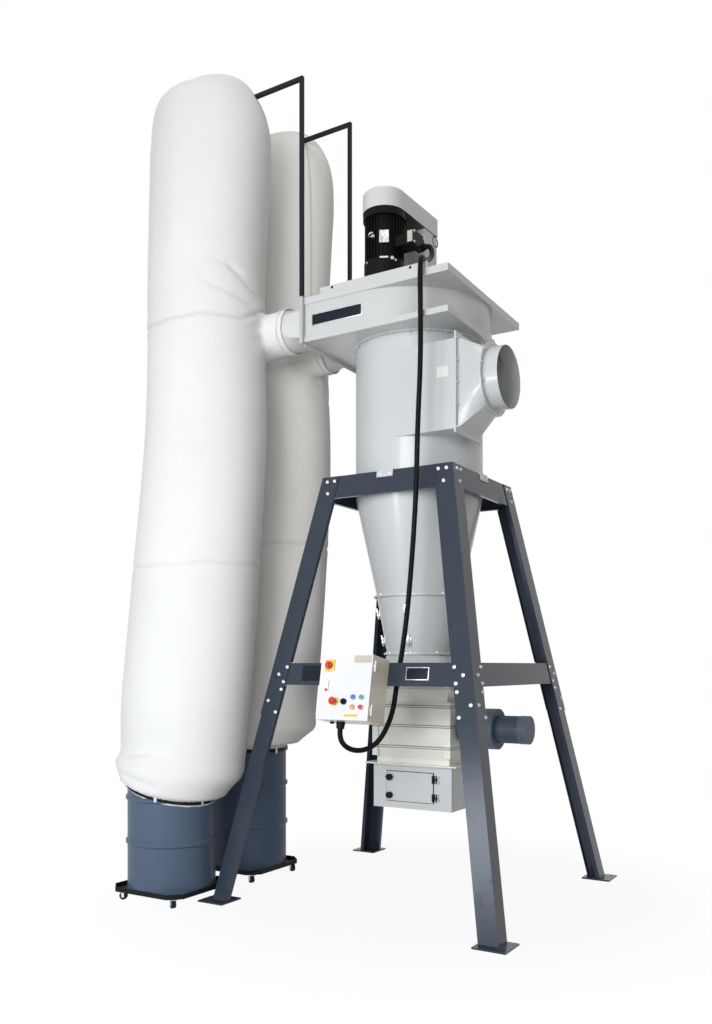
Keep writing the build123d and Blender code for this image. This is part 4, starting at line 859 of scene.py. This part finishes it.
# %% Bolts on the flanges
rings = (
    (0.295, 1.97, 8, 1), (0.295, 1.964, 8, -1), (0.2265, 1.588, 8, 1), (0.2265, 1.582, 8, -1),
    (0.441, 3.606, 24, -1),
)
collar_x, collar_z, collar_circle, collar_bolts = 0.66, 3.257, 0.208, 12
inlet_y, inlet_z, inlet_aside, inlet_half = -0.2664, 3.225, 0.176, 0.3
base_x, base_z = -0.53, 3.612
flange_places = []
for radius, height, count, up in rings:
    for step in range(count):
        angle = 2 * pi * (step + 0.3) / count
        place = (radius * cos(angle), radius * sin(angle), height)
        flange_places.append(at(place, (0, 0, up), step))
for step in range(collar_bolts):
    angle = 2 * pi * (step + 0.5) / collar_bolts
    across, up = collar_circle * cos(angle), collar_circle * sin(angle)
    flange_places.append(at((collar_x, inlet_y + across, collar_z + up), to_right, step))
for share in (-0.9, -0.45, 0.0, 0.45, 0.9):
    for side in (-1, 1):
        for face, way in ((0.486, 1), (0.474, -1)):
            place = (face, inlet_y + side * inlet_aside, inlet_z + share * inlet_half)
            flange_places.append(at(place, (way, 0, 0), share))
for along in (-0.47, -0.31, -0.15, 0.01):
    flange_places.append(at((base_x, along, base_z), (0, 0, -1), along))
copies("flange_bolts", bolt(small_bolt), flange_places, bolt_plating)
print("flange bolts", len(flange_places))

# %% [markdown]
# ## Clamps on the lower cone
# The lower cone opens for cleaning, so toggle clamps hold it: a base plate, a pivot and a lever
# that lies against the cone. A clamp's place is an angle round the cone and a height.

# %% Toggle clamps
cone_low, cone_high = (0.2155, 1.582), (0.284, 1.964)
cone_slope = (cone_high[0] - cone_low[0]) / (cone_high[1] - cone_low[1])
clamp_gap = 0.001
clamp_spots = (
    (-150.7, 1.845), (-150.7, 1.663), (-79.2, 1.657), (-81.5, 1.855), (29.3, 1.845), (29.3, 1.663),
)
clamp_places = []
for angle, height in clamp_spots:
    radius = cone_low[0] + cone_slope * (height - cone_low[1]) + clamp_gap
    out = Vector((cos(radians(angle)), sin(radians(angle)), -cone_slope))
    clamp_places.append(at((radius * out.x, radius * out.y, height), out))
lever = lifted(plate(0.012, 0.075, 0.009), 0, 0.01, 0.01)
pivot = turned(0.008, 0.02, ((0.003, 0.7),), vertices=12)
clamp = joined(plate(0.034, 0.06, 0.004), lever, pivot)
copies("cone_clamps", clamp, clamp_places, bolt_plating)
print("clamps", len(clamp_places))

# %% [markdown]
# ## Bare plates
# Where a machine carries signs and rating plates, this one has plain pressed plates: two on the
# front middle rail, one on the fan, one on the inlet duct and one on the terminal box. A dark field
# on a bright rim is made as two plates, of which the field is the thicker.

# %% Bare plates
rail_z = 1.455
rail_front, rail_y = (0, -1, lean), 0.005 - half_at(rail_z)
rail_left = at((-0.392, rail_y, rail_z), rail_front)
rail_right = at((0.353, rail_y, rail_z), rail_front)
fan_wall = at((-0.3, -0.567, 3.746), to_front)
duct_wall = at((0.381, -0.4264, 3.307), to_front)
box_wall = at((0.1655, -0.446, 4.186), to_front)
bare_plates = (
    ("rail_plate_left", (0.15, 0.098, 0.003, 0.007), rail_left, plate_navy),
    ("rail_plate_rim", (0.152, 0.078, 0.003), rail_right, spangled_zinc),
    ("rail_plate_field", (0.142, 0.068, 0.0038), rail_right, plate_navy),
    ("fan_plate_rim", (0.379, 0.075, 0.003), fan_wall, spangled_zinc),
    ("fan_plate_field", (0.369, 0.065, 0.0038), fan_wall, plate_navy),
    ("duct_plate", (0.074, 0.068, 0.002, 0.004), duct_wall, white_plastic),
    ("terminal_plate", (0.036, 0.07, 0.002, 0.004), box_wall, beige_plate),
)
for name, size, place, paint in bare_plates:
    put(plate(*size), place, name, paint)
print("bare plates", len(bare_plates))

# %% [markdown]
# ## Fittings of the motor
# A bare rating plate, a lifting eye, a drain plug, a strip, and screws. Most stand on the motor's
# round side, so a place is an angle and a height. Beside the motor, a rubber ring lines the hole in
# the sheet box under the belt guard, and two plugs close the holes of the slide rail.

# %% Motor fittings
motor_x, motor_y, motor_radius = -0.06, -0.369, 0.1275
box_face, box_front, box_back, box_low, box_inset = 0.1875, -0.446, -0.292, 4.139, 0.012
grommet_flat = 0.7


def on_motor(angle, height, radius=motor_radius):
    """A place on the motor's round side."""
    out = (cos(radians(angle)), sin(radians(angle)), 0)
    return at((motor_x + radius * out[0], motor_y + radius * out[1], height), out)


put(plate(0.06, 0.078, 0.003, 0.004), on_motor(-61.9, 4.209), "motor_plate", spangled_zinc)
eye = ring(0.016, 0.0045, 28, 10, (0, 0, 0.026), (pi / 2, 0, 0.5))
eye = joined(eye, turned(0.013, 0.004, ((0.008, 0.6),), vertices=16))
put(eye, on_motor(-94.2, 4.219), "lifting_eye", bolt_plating)
drain = turned(0.013, 0.003, ((0.004, 0.85), (0.0005, 0.6), (-0.003, 1.0)))
put(drain, on_motor(-39.4, 4.073, 0.131), "drain_plug", bolt_plating)
bell_place = on_motor(-61.9, 4.077, 0.13)
put(plate(0.054, 0.01, 0.002), bell_place, "bell_strip", white_plastic)
screw_places = [on_motor(angle, 4.066, 0.1305) for angle in (-118.7, 28.1, 118, -28.0)]
for up in (box_inset, 0.078):
    for deep in (box_front + box_inset, box_back - box_inset):
        screw_places.append(at((box_face, deep, box_low + up), to_right))
copies("motor_screws", bolt(small_bolt), screw_places, bolt_plating)
grommet = ring(0.034, 0.005, 40, 10)
for vertex in grommet.data.vertices:
    vertex.co.z *= grommet_flat
put(grommet, at((0.092, 0.055, 4.361), (1, -0.045, 0)), "stand_grommet", black_plastic)
plug = turned(0.009, 0.0008, ((0.0005, 0.85),), 20)
plug_places = [at((along, -0.57, 3.927), to_front) for along in (-0.332, 0.233)]
copies("slide_rail_plugs", plug, plug_places, black_plastic)
print("motor fittings set")

# %% [markdown]
# ## Inspection door
# Two black screw knobs keep the discharge door shut, and black hinges carry it. The knobs and hinge
# sleeves cover the plain solids of the CAD and swing with the door. The hinge caps, the rubber seal
# and the gasket under the airlock stay with the box.

# %% Knobs, hinges and seals of the inspection door
fitting_heights, hinge_x, hinge_y, hinge_tall = (0.759, 0.639), 0.181, -0.142, 0.05
knob_steps = ((0.004, 1.06), (0.012, 1.0), (0.004, 0.85), (0.001, 0.4), (0.003, 0.9))
knob_places = [at((-0.147, -0.138, height), to_front) for height in fitting_heights]
knob = turned(0.0205, 0.01, knob_steps, vertices=14)
copies("door_knobs", knob, knob_places, black_plastic, "inspection_door")
leaf = plate(0.014, hinge_tall, 0.009)
leaf.data.transform(Matrix.Rotation(pi / 2, 4, "X"))
leaf = lifted(leaf, -0.006, 0.001, hinge_tall / 2)
hinge = joined(turned(0.008, hinge_tall, ((0.001, 0.8),), vertices=20), leaf)
hinge_places = [
    Matrix.Translation((hinge_x, hinge_y, height - hinge_tall / 2)) for height in fitting_heights
]
copies("door_hinges", hinge, hinge_places, black_plastic, "inspection_door")
cap_places = [at((0.1987, hinge_y, height), to_front) for height in fitting_heights]
copies("hinge_caps", plate(0.01, hinge_tall, 0.0025), cap_places, black_plastic)
door_wide, door_tall, seal_width, seal_thick = 0.354, 0.203, 0.012, 0.0043
seal_x, seal_y, seal_z = -0.002, -0.1301, 0.6995
half_wide, half_tall = (door_wide - seal_width) / 2, (door_tall - seal_width) / 2
strips = []
for across, up, width, height in (
    (0, half_tall, door_wide, seal_width), (0, -half_tall, door_wide, seal_width),
    (half_wide, 0, seal_width, door_tall), (-half_wide, 0, seal_width, door_tall),
):
    strip = plate(width, height, seal_thick)
    strip.data.transform(at((seal_x + across, seal_y, seal_z + up), to_front))
    strips.append(strip)
settle(joined(*strips), "door_seal", tyre_black)
gasket_place = Matrix.Translation((0.012, 0, 0.841))
put(plate(0.586, 0.266, 0.004), gasket_place, "joint_gasket", tyre_black)
print("door fittings set")

# %% [markdown]
# ## Switchgear of the cabinet
# On the cabinet's door sit a red main switch on a yellow plate, a red mushroom button on a yellow
# ring, a black selector and four push buttons. They cover the plain studs of the CAD and swing with
# the door. Below, a gland grips the conduit, and a plug closes the hole beside it. The cabinet
# leans with the stand, so its frame is a matrix: x across, y up and z out of the door.

# %% Cabinet switchgear
lean_sine, lean_cosine = 0.18492, 0.982754
cabinet = Matrix((
    (1, 0, 0, -0.022), (0, lean_sine, -lean_cosine, -0.726863), (0, lean_cosine, lean_sine, 1.34),
    (0, 0, 0, 1),
))
cabinet_width, cabinet_height, door_face = 0.356, 0.392, 0.195
gland_low, gland_deep = -0.196, 0.095


def on_door(across, up):
    """A place on the door, as shares of its width and height from its middle."""
    return cabinet @ Matrix.Translation((across * cabinet_width, up * cabinet_height, door_face))


def under_cabinet(across):
    return cabinet @ at((across, gland_low, gland_deep), to_front)


grip = lifted(plate(0.012, 0.04, 0.012), 0, 0, 0.024)
handle = lifted(plate(0.009, 0.03, 0.012), 0, 0, 0.015)
switch = joined(turned(0.0225, 0.02, ((0.007, 0.92),)), grip)
selector = joined(turned(0.0185, 0.008, ((0.008, 0.9),)), handle)
stop_ring = turned(0.023, 0.006, ((0.003, 0.92),), 32)
mushroom = turned(0.0135, 0.026, ((0.001, 1.6), (0.01, 1.06), (0.007, 0.72)), 32)
latch_button = turned(0.0075, 0.012, ((0.002, 0.8),), 12)
for name, piece, place, paint in (
    ("switch_plate", plate(0.068, 0.068, 0.007), (-0.32, 0.33), yellow_plastic),
    ("switch_knob", switch, (-0.32, 0.33), red_plastic),
    ("stop_ring", stop_ring, (-0.16, -0.22), yellow_plastic),
    ("stop_button", mushroom, (-0.16, -0.22), red_plastic),
    ("selector", selector, (0.02, -0.22), black_plastic),
    ("door_latch", plate(0.026, 0.066, 0.01, 0.003), (-0.344, 0.013), white_plastic),
    ("latch_button", latch_button, (-0.344, -0.045), red_plastic),
    ("door_plate", plate(0.118, 0.043, 0.0015, 0.003), (0.313, 0.43), beige_plate),
    ("door_strip", plate(0.094, 0.014, 0.0015, 0.002), (0.175, -0.427), yellow_plastic),
):
    put(piece, on_door(*place), name, paint, "cabinet_front")
buttons = (
    ("blue", (0.2, -0.15), blue_plastic), ("green", (0.36, -0.15), green_plastic),
    ("amber", (0.2, -0.3), amber_plastic), ("red", (0.36, -0.3), red_plastic),
)
bezel = turned(0.0185, 0.006, ((0.003, 0.92),))
bezel_places = [on_door(*place) for _, place, _ in buttons]
copies("button_bezels", bezel, bezel_places, bolt_plating, "cabinet_front")
for name, place, paint in buttons:
    lens = turned(0.0145, 0.0145, ((0.003, 0.85), (0.001, 0.6)))
    put(lens, on_door(*place), f"button_{name}", paint, "cabinet_front")
gland = turned(0.0268, 0.018, ((0.0005, 0.93), (0.022, 1.0), (0.001, 0.8)), 12)
put(gland, under_cabinet(-0.063), "cabinet_gland", black_plastic)
gland_plug = turned(0.012, 0.01, ((0.003, 0.8),), 12)
put(gland_plug, under_cabinet(-0.125), "gland_plug", black_plastic)
print("switchgear set")

# %% [markdown]
# ## Straps and drawstrings
# Each bag's hem is tied round its drum with a black strap that runs through white loops, and each
# sleeve is tied to its branch with a doubled drawstring. The strap is a circle pulled up into a
# band, thickened, and slid down the drum with its hem.

# %% Straps and drawstrings
strap_radius, strap_height, strap_thick = 0.292, 0.024, 0.004
loop_count, loop_rise, loop_start = 6, 0.014, turn - radians(99)
string_radius, string_thick, string_wave = 0.1485, 0.0035, 0.003


def strap(name, drum_y, low, rise, slack):
    middle = (bag_x, drum_y, low + rise)
    bpy.ops.mesh.primitive_circle_add(vertices=120, radius=strap_radius, location=middle)
    band = bpy.context.object
    apply_place()
    mode("EDIT")
    bpy.ops.mesh.select_mode(type="EDGE")
    bpy.ops.mesh.select_all(action="SELECT")
    bpy.ops.mesh.extrude_region_move(TRANSFORM_OT_translate={"value": (0, 0, strap_height)})
    mode("OBJECT")
    modified(band, "SOLIDIFY", thickness=strap_thick, offset=0)
    mode("EDIT")
    bpy.ops.mesh.select_all(action="SELECT")
    bpy.ops.mesh.normals_make_consistent(inside=False)
    mode("OBJECT")
    points = points_of(band)
    slide(points, low, drum_y, slack)
    band.data.vertices.foreach_set("co", points.ravel())
    settle(band, name, black_plastic)
    print(name, "faces", len(band.data.polygons))


def loops(name, drum_y, low, rise, slack, paint):
    places = []
    for step in range(loop_count):
        angle = loop_start + 2 * pi * step / loop_count
        out = np.array((cos(angle), sin(angle), 0))
        place = np.array([(bag_x, drum_y, low + rise + loop_rise)]) + strap_radius * out
        slide(place, low, drum_y, slack)
        places.append(at(place[0], out))
    copies(name, plate(0.018, 0.05, 0.005), places, paint)


for side, rise in (("front", 0.012), ("back", -0.014)):
    bag = bags[side]
    hem = bag["drum_y"], bag["rows"][0, 0], rise, bag["slack"]
    strap(f"hem_strap_{side}", *hem)
    loops(f"hem_loops_{side}", *hem, bag["paint"])
drawstring = ring(string_radius, string_thick, 64, 8)
for vertex in drawstring.data.vertices:
    vertex.co.z += string_wave * sin(3 * atan2(vertex.co.y, vertex.co.x))
string_places = [
    at((along, bag["sleeve_y"], sleeve_z), to_right)
    for bag in bags.values() for along in (-0.742, -0.703)
]
copies("drawstrings", drawstring, string_places, cloth_tape)
print("straps and drawstrings set")

# %% [markdown]
# ## The studio
# The floor is a wide disc that turns to plain white away from the machine, so that it has no
# visible edge. Close to the machine it keeps a faint shadow.

# %% Floor
floor_radius, floor_z, near_share = 40.0, -0.0005, 0.93
bpy.ops.mesh.primitive_circle_add(
    vertices=128, radius=floor_radius, fill_type="NGON", location=(0, 0, floor_z)
)
floor = bpy.context.object
floor.name = "studio_floor"
ground = material("studio_floor")
apart = ground.node("VectorMath", {0: ground.place()}, "Value", operation="LENGTH")
white = ground.node("Emission", {"Color": (1, 1, 1, 1), "Strength": 1.0})
grey = ground.node("BsdfDiffuse", {"Color": (0.6, 0.6, 0.6, 1)})
share = ground.seen() * (near_share + ground.step(apart, 1.2, 2.4) * (1 - near_share))
both = ground.node("MixShader", {0: share, 1: grey, 2: white})
ground.node("OutputMaterial", {"Surface": both})
floor.data.materials.append(ground.owner)
print("floor set")

# %% [markdown]
# ## Light
# The world is white to the eye but lights the machine only dimly, so that the lamps can shape it: a
# large soft key in front, a low one on the left, a weak fill on the right and one above.

# %% World and lamps
world_strength = 0.32
world = bpy.data.worlds.new("studio")
scene.world = world
sky = Paint(world)
dim = sky.node("Background", {"Color": (1, 0.985, 0.94, 1), "Strength": world_strength})
bright = sky.node("Background", {"Color": (1, 1, 1, 1), "Strength": 1.0})
backdrop = sky.node("MixShader", {0: sky.seen(), 1: dim, 2: bright})
sky.node("OutputWorld", {"Surface": backdrop})


def lamp(name, place, aim, size, power, colour=(1, 1, 1)):
    """A round lamp, turned to its aim; power is in watts."""
    data = bpy.data.lights.new(name, "AREA")
    data.shape, data.size, data.energy, data.color = "DISK", size, power, colour
    light = bpy.data.objects.new(name, data)
    light.location = place
    light.rotation_euler = (Vector(aim) - Vector(place)).to_track_quat("-Z", "Y").to_euler()
    scene.collection.objects.link(light)


lamp("key_front", (0.7, -7.8, 3.6), (-0.4, -0.3, 2.6), 3.6, 325, (0.97, 0.985, 1.0))
lamp("low_left", (-1.78, -6.9, 1.6), (0.6, -0.85, 0.7), 1.5, 105, (0.88, 0.94, 1.0))
lamp("fill_front", (3.4, -6.8, 3.0), (-0.6, 0.0, 2.2), 2.5, 45, (1.0, 0.99, 0.97))
lamp("top", (0.5, -1.5, 9.0), (-0.2, -0.2, 3.0), 3.5, 75)
print("lamps set")

# %% [markdown]
# ## Sizes
# The dressed machine should be as large as its solids.
